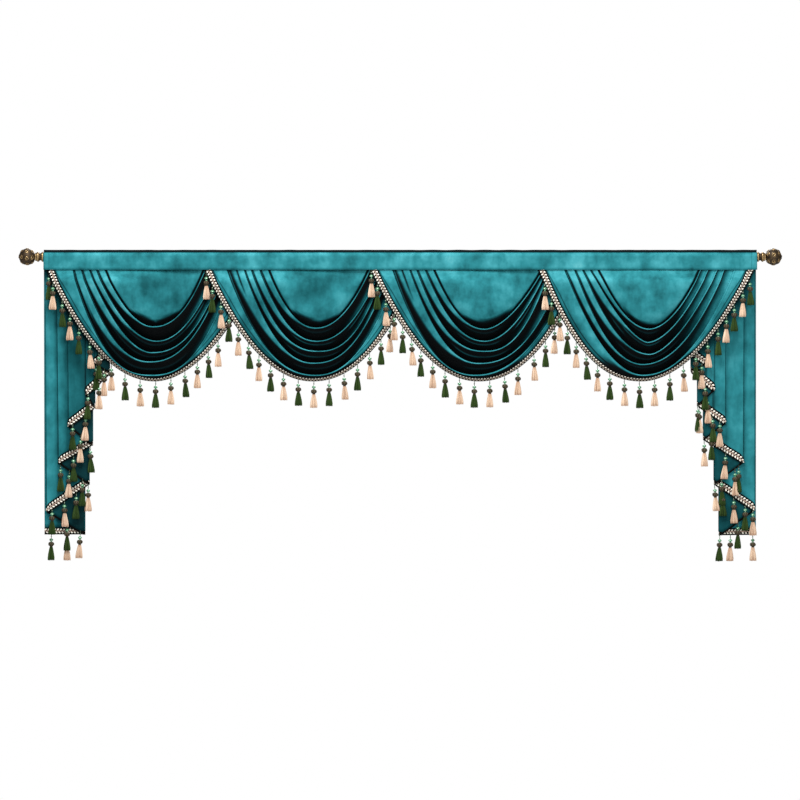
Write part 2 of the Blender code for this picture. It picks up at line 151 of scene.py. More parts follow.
class Board:
    """One material's node tree, with its Principled shader."""

    def __init__(self, name: str) -> None:
        """Start a material.

        Args:
            name: the material's name.
        """
        self.material = bpy.data.materials.new(name)
        self.material.use_nodes = True
        self.tree = self.material.node_tree
        self.shader = self.tree.nodes["Principled BSDF"]

    def node(self, kind: str, settings: dict, *values: object, out: int = 0,
             **named: object) -> Signal:
        """Add any node: its settings first, then the values or links of its sockets.

        Args:
            kind: the node's type.
            settings: attributes of the node; "stops" holds a colour ramp's stops.
            values: sockets in their order, None to leave one alone.
            out: number of the output that is returned.
            named: sockets by name, with _ for a space.

        Returns:
            The chosen output.
        """
        made = self.tree.nodes.new(kind)
        for key, value in settings.items():
            if key == "stops":
                self._set_stops(made.color_ramp, value)
            else:
                setattr(made, key, value)
        for number, value in enumerate(values):
            if value is not None:
                self.feed(made.inputs[number], value)
        for key, value in named.items():
            self.feed(made.inputs[key.replace("_", " ")], value)
        return Signal(self, made.outputs[out])

    @staticmethod
    def _set_stops(ramp: bpy.types.ColorRamp, stops: Sequence[tuple[float, Colour]]) -> None:
        """Give a colour ramp its stops."""
        while len(ramp.elements) < len(stops):
            ramp.elements.new(1.0)
        for element, (place, colour) in zip(ramp.elements, stops):
            element.position = place
            element.color = (*colour, 1.0)

    def feed(self, socket: bpy.types.NodeSocket, value: object) -> None:
        """Link or set one input socket.

        Args:
            socket: the socket.
            value: a link, or the value that it is set to.
        """
        if isinstance(value, Signal):
            self.tree.links.new(value.socket, socket)
        elif isinstance(value, tuple) and len(value) == 3 and socket.type == "RGBA":
            socket.default_value = (*value, 1.0)
        else:
            socket.default_value = value

    def set(self, **named: object) -> None:
        """Set or link the Principled shader's own sockets by name, with _ for a space."""
        for key, value in named.items():
            self.feed(self.shader.inputs[key.replace("_", " ")], value)

    def place(self) -> Signal:
        """Object coordinates, in metres."""
        return self.node("ShaderNodeTexCoord", {}, out=3)

    def noise(self, scale: float, detail: float, where: Optional[Signal] = None,
              roughness: float = 0.5) -> Signal:
        """Noise with the given frequency per metre.

        Args:
            scale: the frequency.
            detail: how many finer layers it has.
            where: the coordinates, or None for the object's own.
            roughness: how strong the finer layers are.

        Returns:
            The noise.
        """
        return self.node("ShaderNodeTexNoise", {}, Vector=where or self.place(), Scale=scale,
                         Detail=detail, Roughness=roughness)

    def streaks(self, per_metre: float, upward: float) -> Signal:
        """Noise drawn out along the height, where it is only upward times as frequent.

        Args:
            per_metre: its frequency across.
            upward: the share of it along the height.

        Returns:
            The noise.
        """
        scale = (per_metre, per_metre, upward * per_metre)
        place = self.node("ShaderNodeMapping", {}, self.place(), Scale=scale)
        return self.noise(1.0, 3.0, place)

    def point_value(self, name: str) -> Signal:
        """A value that the mesh carries at its points."""
        return self.node("ShaderNodeAttribute", {"attribute_name": name}, out=2)

    def ramp(self, factor: Signal, stops: Sequence[tuple[float, Colour]]) -> Signal:
        """Colours chosen by a value from 0 to 1."""
        return self.node("ShaderNodeValToRGB", {"stops": stops}, factor)

    def bump(self, height: Signal, distance: float, strength: float) -> Signal:
        """Normal raised by a height pattern."""
        return self.node("ShaderNodeBump", {}, Height=height, Distance=distance,
                         Strength=strength)


@dataclass(frozen=True)
class Velvet:
    """Crushed deep-pile velvet, darkened by painted shade and lifted by painted highlights."""

    name: str = "teal_velvet"
    stops: tuple = (
        (0.00, (0.0001, 0.0006, 0.0009)),
        (0.18, (0.0007, 0.0100, 0.0125)),
        (0.42, (0.0050, 0.0800, 0.0920)),
        (0.64, (0.0220, 0.2050, 0.2350)),
        (0.82, (0.0560, 0.3300, 0.3750)),
        (1.00, (0.1500, 0.4900, 0.5300)),
    )
    brightness: float = 0.655
    patches_per_metre: float = 9.0
    patch_depth: float = 0.95
    brushed_per_metre: float = 34.0
    brushed_depth: float = 0.34
    brushed_upward: float = 0.4
    pile_per_metre: float = 2600.0
    pile_depth: float = 0.05
    pile_height: float = 0.0004

    def material(self) -> Material:
        """The velvet's material, darkened by painted shade and lit by painted highlights.

        Returns:
            The material.
        """
        board = Board(self.name)
        patches = board.noise(self.patches_per_metre, 4.0, roughness=0.62)
        brushed = board.streaks(self.brushed_per_metre, self.brushed_upward)
        pile = board.noise(self.pile_per_metre, 2.0)
        nap = board.point_value("nap")
        level = self.brightness + (patches - 0.5) * self.patch_depth
        level = level + (brushed - 0.5) * self.brushed_depth + (pile - 0.5) * self.pile_depth
        # the points' painted shade darkens the velvet's own mottled tone; a negative value
        # paints a highlight
        shade = (level * (1.0 - nap)).limited()
        board.set(
            Base_Color=board.ramp(shade, self.stops),
            Roughness=0.62 + 0.25 * patches,
            Sheen_Weight=0.04,
            Sheen_Roughness=0.35,
            Sheen_Tint=(0.25, 0.85, 0.92),
            Specular_IOR_Level=0.06,
            Normal=board.bump(pile, self.pile_height, 0.5),
        )
        return board.material


@dataclass(frozen=True)
class Thread:
    """Spun thread or cord, with fine strands along its length."""

    name: str
    dark: Colour
    light: Colour
    roughness: float = 0.55
    strands_per_metre: float = 700.0
    sheen: float = 0.06
    gloss: float = 0.18
    strand_upward: float = 0.12
    strand_depth: float = 0.7
    relief: float = 0.0006

    def material(self) -> Material:
        """The thread's material; a value at its points sets its tone: its own tone, with painted
        shade.

        Returns:
            The material.
        """
        board = Board(self.name)
        fine = board.streaks(self.strands_per_metre, self.strand_upward)
        cross = board.noise(2.2 * self.strands_per_metre, 1.0)
        tone = (board.point_value("strand") + (fine - 0.5) * self.strand_depth).limited()
        board.set(
            Base_Color=board.ramp(tone, ((0.0, self.dark), (1.0, self.light))),
            Roughness=self.roughness,
            Sheen_Weight=self.sheen,
            Specular_IOR_Level=self.gloss,
            Normal=board.bump(0.6 * fine + 0.4 * cross, self.relief, 0.6),
        )
        return board.material


@dataclass(frozen=True)
class Glass:
    """Moulded bead, clouded and not clear."""

    name: str
    deep: Colour
    lit: Colour
    cloud_per_metre: float = 420.0

    def material(self) -> Material:
        """The bead's material.

        Returns:
            The material.
        """
        board = Board(self.name)
        cloud = board.noise(self.cloud_per_metre, 2.0)
        board.set(
            Base_Color=board.ramp(cloud, ((0.30, self.deep), (0.70, self.lit))),
            Roughness=0.12 + 0.12 * cloud,
            Coat_Weight=0.6,
        )
        return board.material


@dataclass(frozen=True)
class Bronze:
    """Antique bronze: dark in the hollows, rubbed bright on what stands up."""

    name: str = "antique_bronze"
    hollow: Colour = (0.018, 0.011, 0.005)
    body: Colour = (0.115, 0.068, 0.026)
    rubbed: Colour = (0.52, 0.36, 0.17)
    patina_per_metre: float = 95.0
    pits_per_metre: float = 900.0
    pit_depth: float = 0.0006

    def material(self) -> Material:
        """The bronze's material; the points' "relief" value brings out the rubbed metal.

        Returns:
            The material.
        """
        board = Board(self.name)
        patina = board.noise(self.patina_per_metre, 5.0, roughness=0.7)
        pits = board.noise(self.pits_per_metre, 2.0)
        relief = board.point_value("relief")
        tone = (relief * 0.78 + (patina - 0.5) * 0.75 + 0.10).limited()
        stops = ((0.0, self.hollow), (0.42, self.body), (0.95, self.rubbed))
        board.set(
            Base_Color=board.ramp(tone, stops),
            Metallic=0.55 + 0.4 * relief,
            Roughness=(0.52 - 0.22 * relief + (patina - 0.5) * 0.2).limited(),
            Normal=board.bump(pits, self.pit_depth, 0.35),
        )
        return board.material


def mixed(recipe: Union[Velvet, Thread, Glass, Bronze]) -> Material:
    """A field whose material is mixed from its recipe when the finishes are made."""
    return field(default_factory=recipe.material)


@dataclass
class Finishes:
    """Every material of the valance, mixed once."""

    velvet: Material = mixed(Velvet())
    smooth_velvet: Material = mixed(Velvet(
        "smooth_teal_velvet", brightness=0.635, patch_depth=0.55))
    black_braid: Material = mixed(Thread(
        "black_braid", (0.0015, 0.0014, 0.0012), (0.008, 0.006, 0.005), 0.9, 1100.0, 0.0, 0.03))
    cream_loops: Material = mixed(Thread(
        "cream_loops", (0.37, 0.27, 0.19), (0.98, 0.94, 0.82), 0.6, 900.0))
    tan_rib: Material = mixed(Thread(
        "tan_rib", (0.20, 0.11, 0.08), (0.60, 0.45, 0.36), 0.6, 900.0))
    green_skirt: Material = mixed(Thread(
        "green_skirt", (0.0040, 0.0130, 0.0016), (0.046, 0.088, 0.019), 0.6, 700.0, 0.02, 0.08))
    cream_skirt: Material = mixed(Thread(
        "cream_skirt", (0.36, 0.19, 0.11), (0.94, 0.73, 0.54), 0.5, 700.0, 0.04, 0.14))
    knot: Material = mixed(Thread(
        "knot_thread", (0.005, 0.004, 0.002), (0.125, 0.100, 0.060), 0.6, 800.0, 0.03, 0.12))
    string: Material = mixed(Thread(
        "bead_string", (0.012, 0.025, 0.012), (0.07, 0.10, 0.06)))
    green_bead: Material = mixed(Glass(
        "green_bead", (0.03, 0.16, 0.07), (0.20, 0.46, 0.26)))
    dark_bead: Material = mixed(Glass(
        "dark_bead", (0.010, 0.030, 0.012), (0.20, 0.30, 0.19)))
    bronze: Material = mixed(Bronze())


# Mesh kit


def in_scene(name: str, data: bpy.types.ID) -> Piece:
    """Put new data into the scene as an object at the origin.

    Args:
        name: the object's name.
        data: its mesh, curve, camera or light.

    Returns:
        The object.
    """
    made = bpy.data.objects.new(name, data)
    bpy.context.scene.collection.objects.link(made)
    return made


class Stock:
    """Points, faces and point values collected for one joined mesh."""

    def __init__(self) -> None:
        """Start empty."""
        self.points: list[np.ndarray] = []
        self.faces: list[tuple[int, ...]] = []
        self.finish_of_face: list[int] = []
        self.values: list[np.ndarray] = []
        self.count = 0

    def add(self, points: np.ndarray, faces: Sequence[Sequence[int]],
            value: Values, finish: int = 0) -> None:
        """Add one closed form.

        Args:
            points: its points, one row each.
            faces: its faces, as numbers of those points.
            value: the point value, one number or one for each point.
            finish: which of the object's materials its faces take.
        """
        start = self.count
        self.points.append(points)
        self.faces += [tuple(start + corner for corner in face) for face in faces]
        self.finish_of_face += [finish] * len(faces)
        self.values.append(np.broadcast_to(np.asarray(value, float), (len(points),)))
        self.count += len(points)

    def made(self, name: str, finishes: Sequence[Material],
             value_name: str) -> Piece:
        """Make the object, shaded smooth.

        Args:
            name: the object's name.
            finishes: its materials.
            value_name: what its material calls the point value.

        Returns:
            The object, at the origin, in the scene.
        """
        mesh = bpy.data.meshes.new(name)
        mesh.from_pydata(np.concatenate(self.points).tolist(), [], self.faces)
        for finish in finishes:
            mesh.materials.append(finish)
        mesh.polygons.foreach_set("material_index", self.finish_of_face)
        layer = mesh.attributes.new(value_name, "FLOAT", "POINT")
        layer.data.foreach_set("value", np.concatenate(self.values))
        mesh.shade_smooth()
        mesh.validate()
        return in_scene(name, mesh)


def smooth_step(value: Values) -> Values:
    """Ease from 0 to 1 over the same range of the value."""
    share = np.clip(value, 0.0, 1.0)
    return share * share * (3.0 - 2.0 * share)


def mix(first: float, second: float, share: float) -> float:
    """A value between two others."""
    return first + (second - first) * share


def unit(vectors: np.ndarray) -> np.ndarray:
    """Vectors along the last axis, each with a length of one."""
    return vectors / np.maximum(np.linalg.norm(vectors, axis=-1, keepdims=True), 1e-12)


def wobble(seed: float, *place: float) -> float:
    """Smooth unevenness from -1 to 1, the same at each run."""
    along, across = (*place, 0.0)[:2]
    return noise.noise(Vector((along, across, seed)))


def bar_faces(stations: int, sides: int) -> list[tuple[int, ...]]:
    """Faces of a closed bar: its two ends, then its sides ring by ring.

    Args:
        stations: the number of its rings.
        sides: the number of points in each ring.

    Returns:
        The faces, as numbers of points.
    """
    last = (stations - 1) * sides
    faces = [tuple(range(sides)), tuple(last + side for side in reversed(range(sides)))]
    for base in range(0, last, sides):
        for side in range(sides):
            following = (side + 1) % sides
            faces.append((base + following, base + side, base + sides + side,
                          base + sides + following))
    return faces


def bar_points(spine: np.ndarray, across: np.ndarray, outward: np.ndarray,
               section: Sequence[tuple[float, float]]) -> np.ndarray:
    """Points of a bar along a line, ring by ring.

    Args:
        spine: the line's points.
        across: the section's first direction at each point; its length scales the section.
        outward: its second direction at each point, likewise.
        section: the section's outline, as (across, outward) distances.

    Returns:
        The points.
    """
    outline = np.asarray(section, float)
    points = (spine[:, None, :] + across[:, None, :] * outline[None, :, :1]
              + outward[:, None, :] * outline[None, :, 1:])
    return points.reshape(-1, 3)


def lathe(rings: Sequence[Place], sides: int,
          lobes: Optional[tuple[int, float, float]] = None) -> tuple[np.ndarray, list]:
    """Closed round form hanging down -Z.

    Args:
        rings: (drop, half width along X, half width along Y) from the top.
        sides: number of sides.
        lobes: number of lobes, their depth and their twist in turns, or None.

    Returns:
        Points and faces.
    """
    points = [(0.0, 0.0, -rings[0][0])]
    for row, (drop, across, through) in enumerate(rings):
        for side in range(sides):
            angle = FULL_TURN * side / sides
            swell = 1.0
            if lobes:
                count, depth, twist = lobes
                turned = angle + FULL_TURN * twist * row / len(rings)
                swell = 1.0 - depth + depth * abs(math.cos(0.5 * count * turned)) * 2.0
            points.append((across * swell * math.cos(angle), through * swell * math.sin(angle),
                           -drop))
    points.append((0.0, 0.0, -rings[-1][0]))
    faces = []
    last = len(points) - 1
    for side in range(sides):
        following = (side + 1) % sides
        faces.append((0, 1 + side, 1 + following))
        faces.append((last, last - sides + following, last - sides + side))
        for row in range(len(rings) - 1):
            base = 1 + row * sides
            faces.append((base + side, base + sides + side, base + sides + following,
                          base + following))
    return np.asarray(points), faces


def cloth_sheet(grid: np.ndarray) -> tuple[np.ndarray, list]:
    """Closed sheet of cloth round a grid of points, whose front faces -Y.

    Args:
        grid: points by row, from the top, and by column, from the left.

    Returns:
        Points, the front ones first, and faces.
    """
    rows, columns = grid.shape[:2]
    normals = unit(np.cross(np.gradient(grid, axis=0), np.gradient(grid, axis=1)))
    front = (grid + normals * (0.5 * CLOTH)).reshape(-1, 3)
    back = (grid - normals * (0.5 * CLOTH)).reshape(-1, 3)
    size = rows * columns
    number = np.arange(size).reshape(rows, columns)
    upper_left, upper_right = number[:-1, :-1].ravel(), number[:-1, 1:].ravel()
    lower_left, lower_right = number[1:, :-1].ravel(), number[1:, 1:].ravel()
    fronts = np.stack([upper_left, lower_left, lower_right, upper_right], 1)
    backs = np.stack([upper_left, upper_right, lower_right, lower_left], 1) + size
    rim = np.concatenate([number[0, :-1], number[:-1, -1], number[-1, :0:-1],
                          number[:0:-1, 0]])
    ahead = np.roll(rim, -1)
    edges = np.stack([rim, ahead, ahead + size, rim + size], 1)
    return np.concatenate([front, back]), np.concatenate([fronts, backs, edges]).tolist()


def sheet_piece(name: str, grid: np.ndarray, nap: np.ndarray, finish: Material,
                back: Optional[np.ndarray] = None) -> Piece:
    """Make a sheet of velvet with its painted shade.

    Args:
        name: the piece's name.
        grid: points by row and column.
        nap: the painted shade of each grid point on the cloth's front, negative for a painted
            highlight.
        finish: the velvet.
        back: the value of each grid point on the cloth's back, where it has its own; it holds
            the back's own darker colour and some of the painted shade.

    Returns:
        The piece.
    """
    stock = Stock()
    # by default the back takes the darker of its own colour and the front's painted shade
    back = np.maximum(nap, BACK_DARKNESS) if back is None else back
    stock.add(*cloth_sheet(grid), np.concatenate([nap.ravel(), back.ravel()]))
    return stock.made(name, [finish], "nap")


class Ribbon:
    """A line that carries a frame: where the braid runs, its width and its face."""

    def __init__(self, spine: np.ndarray, width: np.ndarray, breadth: np.ndarray) -> None:
        """Measure the line.

        Args:
            spine: points of the middle line.
            width: direction across the braid, towards its tassels, at each point.
            breadth: half the braid's width at each point.
        """
        self.spine = spine
        self.along = unit(np.gradient(spine, axis=0))
        square = width - self.along * np.sum(width * self.along, axis=1, keepdims=True)
        self.width = unit(square)
        self.face = unit(np.cross(self.width, self.along))
        self.breadth = breadth
        steps = np.linalg.norm(np.diff(spine[:, [0, 2]], axis=0), axis=1)
        self.run = np.concatenate([[0.0], np.cumsum(steps)])

    @property
    def length(self) -> float:
        """Length of the middle line, as it looks from the front."""
        return float(self.run[-1])

    def at(self, distances: np.ndarray) -> tuple[np.ndarray, ...]:
        """Frames at distances from the start.

        Args:
            distances: distances along the line.

        Returns:
            Points, directions along, across and outward, and half widths.
        """
        def read(table: np.ndarray) -> np.ndarray:
            """Read one table of vectors at the distances."""
            return np.stack([np.interp(distances, self.run, column) for column in table.T], 1)

        return (read(self.spine), unit(read(self.along)), unit(read(self.width)),
                unit(read(self.face)), np.interp(distances, self.run, self.breadth))


@dataclass(frozen=True)
class Braid:
    """Gimp braid: a black tape with a raised rib and a row of cream loops on each side."""

    tape_thickness: float = 0.0016
    tape_edge: float = 0.0014
    rib_width: float = 0.0017
    rib_height: float = 0.0012
    loop_pitch: float = 0.0108
    loop_inner: float = 0.0006
    loop_outer: float = 0.0084
    loop_lean: float = 0.0032
    loop_width: float = 0.0036
    loop_height: float = 0.0019
    half_width: float = 0.011  # of the ribbon that the loops are sized for
    station: float = 0.0045
    sides: int = 6  # of the rib and of each loop
    tape_tone: float = 0.30
    rib_tone: float = 0.45
    loop_tone: float = 1.06
    loop_unevenness: float = 0.34
    loop_root_shade: float = 0.30  # painted shade at a loop's root, against 1 at its head
    turned_outer: float = 0.42  # painted shade of the outer loops where the braid turns away
    turned_inner: float = 0.80  # and of the inner ones

    def lay(self, ribbon: Ribbon, stock: Stock) -> None:
        """Lay the braid along a ribbon.

        Args:
            ribbon: where it runs.
            stock: takes its forms; finish 0 is the tape, 1 the loops and 2 the rib.
        """
        count = max(int(ribbon.length / self.station), 2)
        spine, _, width, face, breadth = ribbon.at(np.linspace(0.0, ribbon.length, count))
        half = 0.5 * self.tape_thickness
        reach = width * (breadth + self.tape_edge)[:, None]
        for side in (-1.0, 1.0):
            outline = [(side, -half), (side, half), (0.0, half), (0.0, -half)]
            outline = outline if side > 0.0 else outline[::-1]
            stock.add(bar_points(spine, reach, face, outline), bar_faces(count, 4),
                      self.tape_tone, 0)
        rib = [(self.rib_width * math.cos(angle),
                half + self.rib_height * max(math.sin(angle), -0.2))
               for angle in np.linspace(0.0, FULL_TURN, self.sides, endpoint=False)]
        stock.add(bar_points(spine, width, face, rib), bar_faces(count, self.sides),
                  self.rib_tone, 2)
        loops = int(ribbon.length / self.loop_pitch)
        template, loop_faces = self._loop()
        for side, start in ((-1.0, 0.30), (1.0, 0.80)):
            places = (np.arange(loops) + start) * ribbon.length / loops
            spot, run, across, out, reach = ribbon.at(places)
            for number in range(loops):
                widened = side * reach[number] / self.half_width
                local = template * np.array([1.0, widened, 1.0])
                points = (spot[number] + local[:, :1] * run[number]
                          + local[:, 1:2] * across[number] + local[:, 2:] * out[number])
                turned = loop_faces if side > 0 else [face[::-1] for face in loop_faces]
                unevenness = self.loop_unevenness * wobble(3.7, 41.0 * places[number], side)
                # painted shade on loops that face away at the foot, and towards each loop's root
                facing = min(max((-out[number][1] - 0.49) / 0.15, 0.0), 1.0)
                away = self.turned_outer if side > 0.0 else self.turned_inner
                tone = (self.loop_tone + unevenness) * mix(away, 1.0, facing)
                nub = smooth_step((template[:, 1] - 0.0020) / 0.0030)
                stock.add(points, turned, tone * mix(self.loop_root_shade, 1.0, nub), 1)

    def _loop(self) -> tuple[np.ndarray, list]:
        """One loop in its own frame: along, across and out of the braid.

        Returns:
            Points and faces.
        """
        rows = ((0.0, 0.22), (0.22, 0.42), (0.45, 0.86), (0.70, 1.0), (0.90, 0.74), (1.0, 0.2))
        base = 0.5 * self.tape_thickness
        points = []
        for share, swell in rows:
            across = mix(self.loop_inner, self.loop_outer, share)
            along = self.loop_lean * (share - 0.5)
            for side in range(self.sides):
                angle = FULL_TURN * side / self.sides
                points.append((along + self.loop_width * swell * math.cos(angle), across,
                               base + self.loop_height * swell * (0.35 + math.sin(angle))))
        return np.asarray(points), bar_faces(len(rows), self.sides)


Placing = Callable[..., np.ndarray]


class TasselColour(Enum):
    """What a tassel's skirt is spun from."""

    GREEN = "G"
    CREAM = "C"


@dataclass(frozen=True)
class Hung:
    """One tassel's place: where it is sewn, how far it stands out, its colour and string."""

    root: Place
    stand_off: float
    colour: TasselColour
    string: float = 0.0375


# One cord of a skirt, from its root to its tip: where its rings are, how thick it is at
# each, its painted shade there, darker at both ends, and its section.
CORD_STATIONS = np.array([0.0, 0.12, 0.30, 0.56, 0.82, 1.0])
CORD_SWELL = np.array([0.8, 1.0, 1.0, 1.05, 1.0, 0.55])
CORD_SHADE = np.array([0.55, 0.85, 1.0, 1.0, 0.95, 0.60])
CORD_SECTION = ((1.0, 0.0), (0.0, 1.0), (-1.0, 0.0), (0.0, -1.0))
CORD_FACES = [face[::-1] for face in bar_faces(len(CORD_STATIONS), len(CORD_SECTION))]


@dataclass(frozen=True)
class Tassel:
    """Beaded tassel: string, beads, knotted head and a skirt of separate cords."""

    string_radius: float = 0.0012
    first_bead: float = 0.30  # shares of the string
    facet_bead: float = 0.60
    second_bead: float = 0.80
    below_head: float = 0.0575  # from the middle of the head to the foot
    neck: float = 0.0088
    facet_radius: float = 0.0066
    head_across: float = 0.0096
    head_through: float = 0.0072
    head_height: float = 0.0080
    neck_radius: float = 0.0044
    foot_across: float = 0.0138
    foot_through: float = 0.0056
    cords: int = 24
    cord_radius: float = 0.00135
    lean: float = 0.0052
    clear_at: float = 0.27  # share of the drop where it stands clear of the cloth
    flare: float = 0.90
    flare_unevenness: float = 0.16
    head_rings: int = 9
    head_sides: int = 28
    head_lobes: tuple[int, float, float] = (7, 0.13, 0.30)
    head_tone: float = 0.46
    winding: float = 300.0  # radians of tone along a metre of the head
    core_across: float = 0.80  # of the core and of the ring of cords, as shares of the
    core_through: float = 0.74  # skirt's half widths
    ring_across: float = 0.93
    ring_through: float = 0.86
    core_sides: int = 10
    # painted shade of the core, a dark stand-in for the cords inside the skirt
    core_shade: float = 0.05
    cord_stray: float = 0.35
    cord_twist: float = 0.25
    end_unevenness: float = 0.024
    end_rise: float = 0.010
    cord_tone: float = 0.62
    cord_unevenness: float = 0.85
    root_shade: float = 0.14

    def hang(self, number: int, hung: Hung, beads: Stock, skirts: Stock) -> None:
        """Hang one tassel.

        Args:
            number: its number, which sets its small differences.
            hung: its place.
            beads: takes string, beads and head (finishes 0 knot, 1 string, 2 green, 3 dark).
            skirts: takes the skirt.
        """
        length = hung.string + self.below_head
        lean = self.lean * wobble(5.1, 3.3 * number)

        def placed(points: np.ndarray, drop: float = 0.0) -> np.ndarray:
            """Points moved from the tassel's own frame to where it hangs.

            Args:
                points: the points.
                drop: how far below the root their frame lies.

            Returns:
                The moved points.
            """
            moved = points.copy()
            moved[:, 2] -= drop
            fall = np.clip(-moved[:, 2] / length, 0.0, 1.0)
            moved[:, 0] += lean * fall * 2.0
            moved[:, 1] -= hung.stand_off * np.clip(fall / self.clear_at, 0.0, 1.0)
            return moved + np.asarray(hung.root)

        thin, wide = self.string_radius, self.facet_radius
        string = ((-0.002, thin, thin), (0.12 * length, thin, thin),
                  (hung.string - 0.004, thin, thin))
        small = ((-0.0020, 0.0012, 0.0012), (0.0, 0.0026, 0.0023), (0.0020, 0.0012, 0.0012))
        facet = ((-0.0046, 0.46 * wide, 0.34 * wide), (-0.0020, 0.95 * wide, 0.78 * wide),
                 (0.0020, wide, 0.82 * wide), (0.0046, 0.46 * wide, 0.34 * wide))
        ring = ((-0.0030, 0.0016, 0.0016), (-0.0010, 0.0036, 0.0033),
                (0.0010, 0.0036, 0.0033), (0.0030, 0.0016, 0.0016))
        threaded = ((0.0, string, 5, 0.4, 1), (self.first_bead, small, 6, 0.5, 3),
                    (self.facet_bead, facet, 8, 0.5, 2), (self.second_bead, ring, 7, 0.5, 2))
        for share, rings, sides, tone, finish in threaded:
            points, faces = lathe(rings, sides)
            beads.add(placed(points, share * hung.string), faces, tone, finish)
        self._head(1.7 * number, hung.string, placed, beads)
        self._skirt(number, hung.string, placed, skirts)

    def _head(self, turn: float, head: float, placed: Placing, beads: Stock) -> None:
        """The knotted head, wound like a turban, and the band below it.

        Args:
            turn: where its winding starts, in radians.
            head: drop of its middle.
            placed: moves points to where the tassel hangs.
            beads: takes the forms.
        """
        rings = []
        for step in range(self.head_rings):
            angle = math.pi * (step + 0.5) / self.head_rings
            ring = math.sin(angle) ** 0.75
            rings.append((-self.head_height * math.cos(angle), self.head_across * ring,
                          self.head_through * ring))
        points, faces = lathe(rings, self.head_sides, self.head_lobes)
        around = self.head_lobes[0] * np.arctan2(points[:, 1], points[:, 0])
        light = np.cos(around + self.winding * points[:, 2] + turn)
        beads.add(placed(points, head), faces, self.head_tone * (1.0 + light), 0)
        neck = self.neck_radius
        points, faces = lathe([(-0.0030, 0.9 * neck, 0.8 * neck),
                               (-0.0010, 1.15 * neck, 0.95 * neck),
                               (0.0012, 1.10 * neck, 0.92 * neck),
                               (0.0030, 0.9 * neck, 0.75 * neck)], 12)
        beads.add(placed(points, head + self.neck), faces, 0.25, 0)

    def _skirt(self, number: int, head: float, placed: Placing, skirts: Stock) -> None:
        """The skirt: a core and a ring of cords that spread towards the foot.

        Args:
            number: the tassel's number.
            head: drop of the head's middle.
            placed: moves points to where the tassel hangs.
            skirts: takes the forms.
        """
        flare = self.flare + self.flare_unevenness * wobble(9.3, 2.1 * number)
        top = head + self.neck + 0.001
        foot = head + self.below_head
        core = []
        for share in (0.0, 0.3, 0.65, 0.97):
            spread = self._spread(share) * flare
            core.append((mix(top, foot, share), self._across(spread) * self.core_across,
                         self._through(spread) * self.core_through))
        points, faces = lathe(core, self.core_sides)
        skirts.add(placed(points), faces, self.core_shade)
        shares = CORD_STATIONS
        for cord in range(self.cords):
            stray = self.cord_stray * wobble(number, 5.7 * cord)
            angle = FULL_TURN * (cord + stray) / self.cords
            end = 1.0 + self.end_unevenness * wobble(2.0 + number, 3.9 * cord)
            end -= self.end_rise * abs(math.cos(angle)) ** 3
            drops = top + (foot * end - top) * shares
            spread = np.array([self._spread(share) for share in shares]) * flare
            turned = angle + self.cord_twist * wobble(4.0 + number, 2.3 * cord) * shares
            sine, cosine, level = np.sin(turned), np.cos(turned), 0.0 * turned
            spine = np.stack([self._across(spread) * self.ring_across * cosine,
                              self._through(spread) * self.ring_through * sine, -drops], 1)
            radius = self.cord_radius * CORD_SWELL[:, None]
            points = bar_points(spine, np.stack([-sine, cosine, level], 1) * radius,
                                np.stack([cosine, sine, level], 1) * radius, CORD_SECTION)
            tone = self.cord_tone + self.cord_unevenness * wobble(7.0 + number, 6.1 * cord)
            shade = (tone - self.root_shade * (1.0 - shares)) * CORD_SHADE
            skirts.add(placed(points), CORD_FACES, np.repeat(shade, len(CORD_SECTION)))

    def _across(self, spread: Values) -> Values:
        """The skirt's half width along X, where it has spread so far."""
        return mix(self.neck_radius, self.foot_across, spread)

    def _through(self, spread: Values) -> Values:
        """The skirt's half width along Y, where it has spread so far."""
        return mix(0.8 * self.neck_radius, self.foot_through, spread)

    @staticmethod
    def _spread(share: float) -> float:
        """How far the skirt has spread, from 0 at the neck to 1 at the foot."""
        return 1.0 - (1.0 - share) ** 1.45 - 0.05 * smooth_step((share - 0.85) / 0.15)


class Trim:
    """Braid and tassels sewn along one edge of cloth."""

    def __init__(self, node: str, finishes: Finishes) -> None:
        """Start a trim.

        Args:
            node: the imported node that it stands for.
            finishes: the valance's materials.
        """
        self.node = node
        self.finishes = finishes
        self.pieces: list[Piece] = []

    def sew(self, ribbon: Ribbon, hung: Sequence[Hung]) -> list[Piece]:
        """Make the braid and its tassels.

        Args:
            ribbon: where the braid runs.
            hung: where its tassels hang.

        Returns:
            The pieces that stand for the node.
        """
        braid = Stock()
        Braid().lay(ribbon, braid)
        own = self.finishes
        self._add(braid, "braid", [own.black_braid, own.cream_loops, own.tan_rib])
        beads = Stock()
        skirts = {colour: Stock() for colour in TasselColour}
        for number, place in enumerate(hung):
            Tassel().hang(number + 20 * len(self.node), place, beads, skirts[place.colour])
        self._add(beads, "heads", [own.knot, own.string, own.green_bead, own.dark_bead])
        self._add(skirts[TasselColour.GREEN], "green_skirts", [own.green_skirt])
        self._add(skirts[TasselColour.CREAM], "cream_skirts", [own.cream_skirt])
        return self.pieces

    def _add(self, stock: Stock, part: str, finishes: list) -> None:
        """Make one part of the trim a piece of the valance.

        Args:
            stock: its forms.
            part: the end of its name.
            finishes: its materials.
        """
        piece = stock.made(f"{self.node}_{part}", finishes, "strand")
        piece.data.set_sharp_from_angle(angle=TRIM_EDGE)
        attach(piece, "root")
        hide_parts(self.node)
        self.pieces.append(piece)


# Swags


@dataclass(frozen=True)
class Lip:
    """The crest of one cowl fold, as it hangs between its two ends on the seam.

    Left and right ends and lowest point from the swag's centre, drop of the lowest point,
    and roundness of the curve on each side.
    """

    left: float
    right: float
    low: float
    drop: float
    round_left: float
    round_right: float


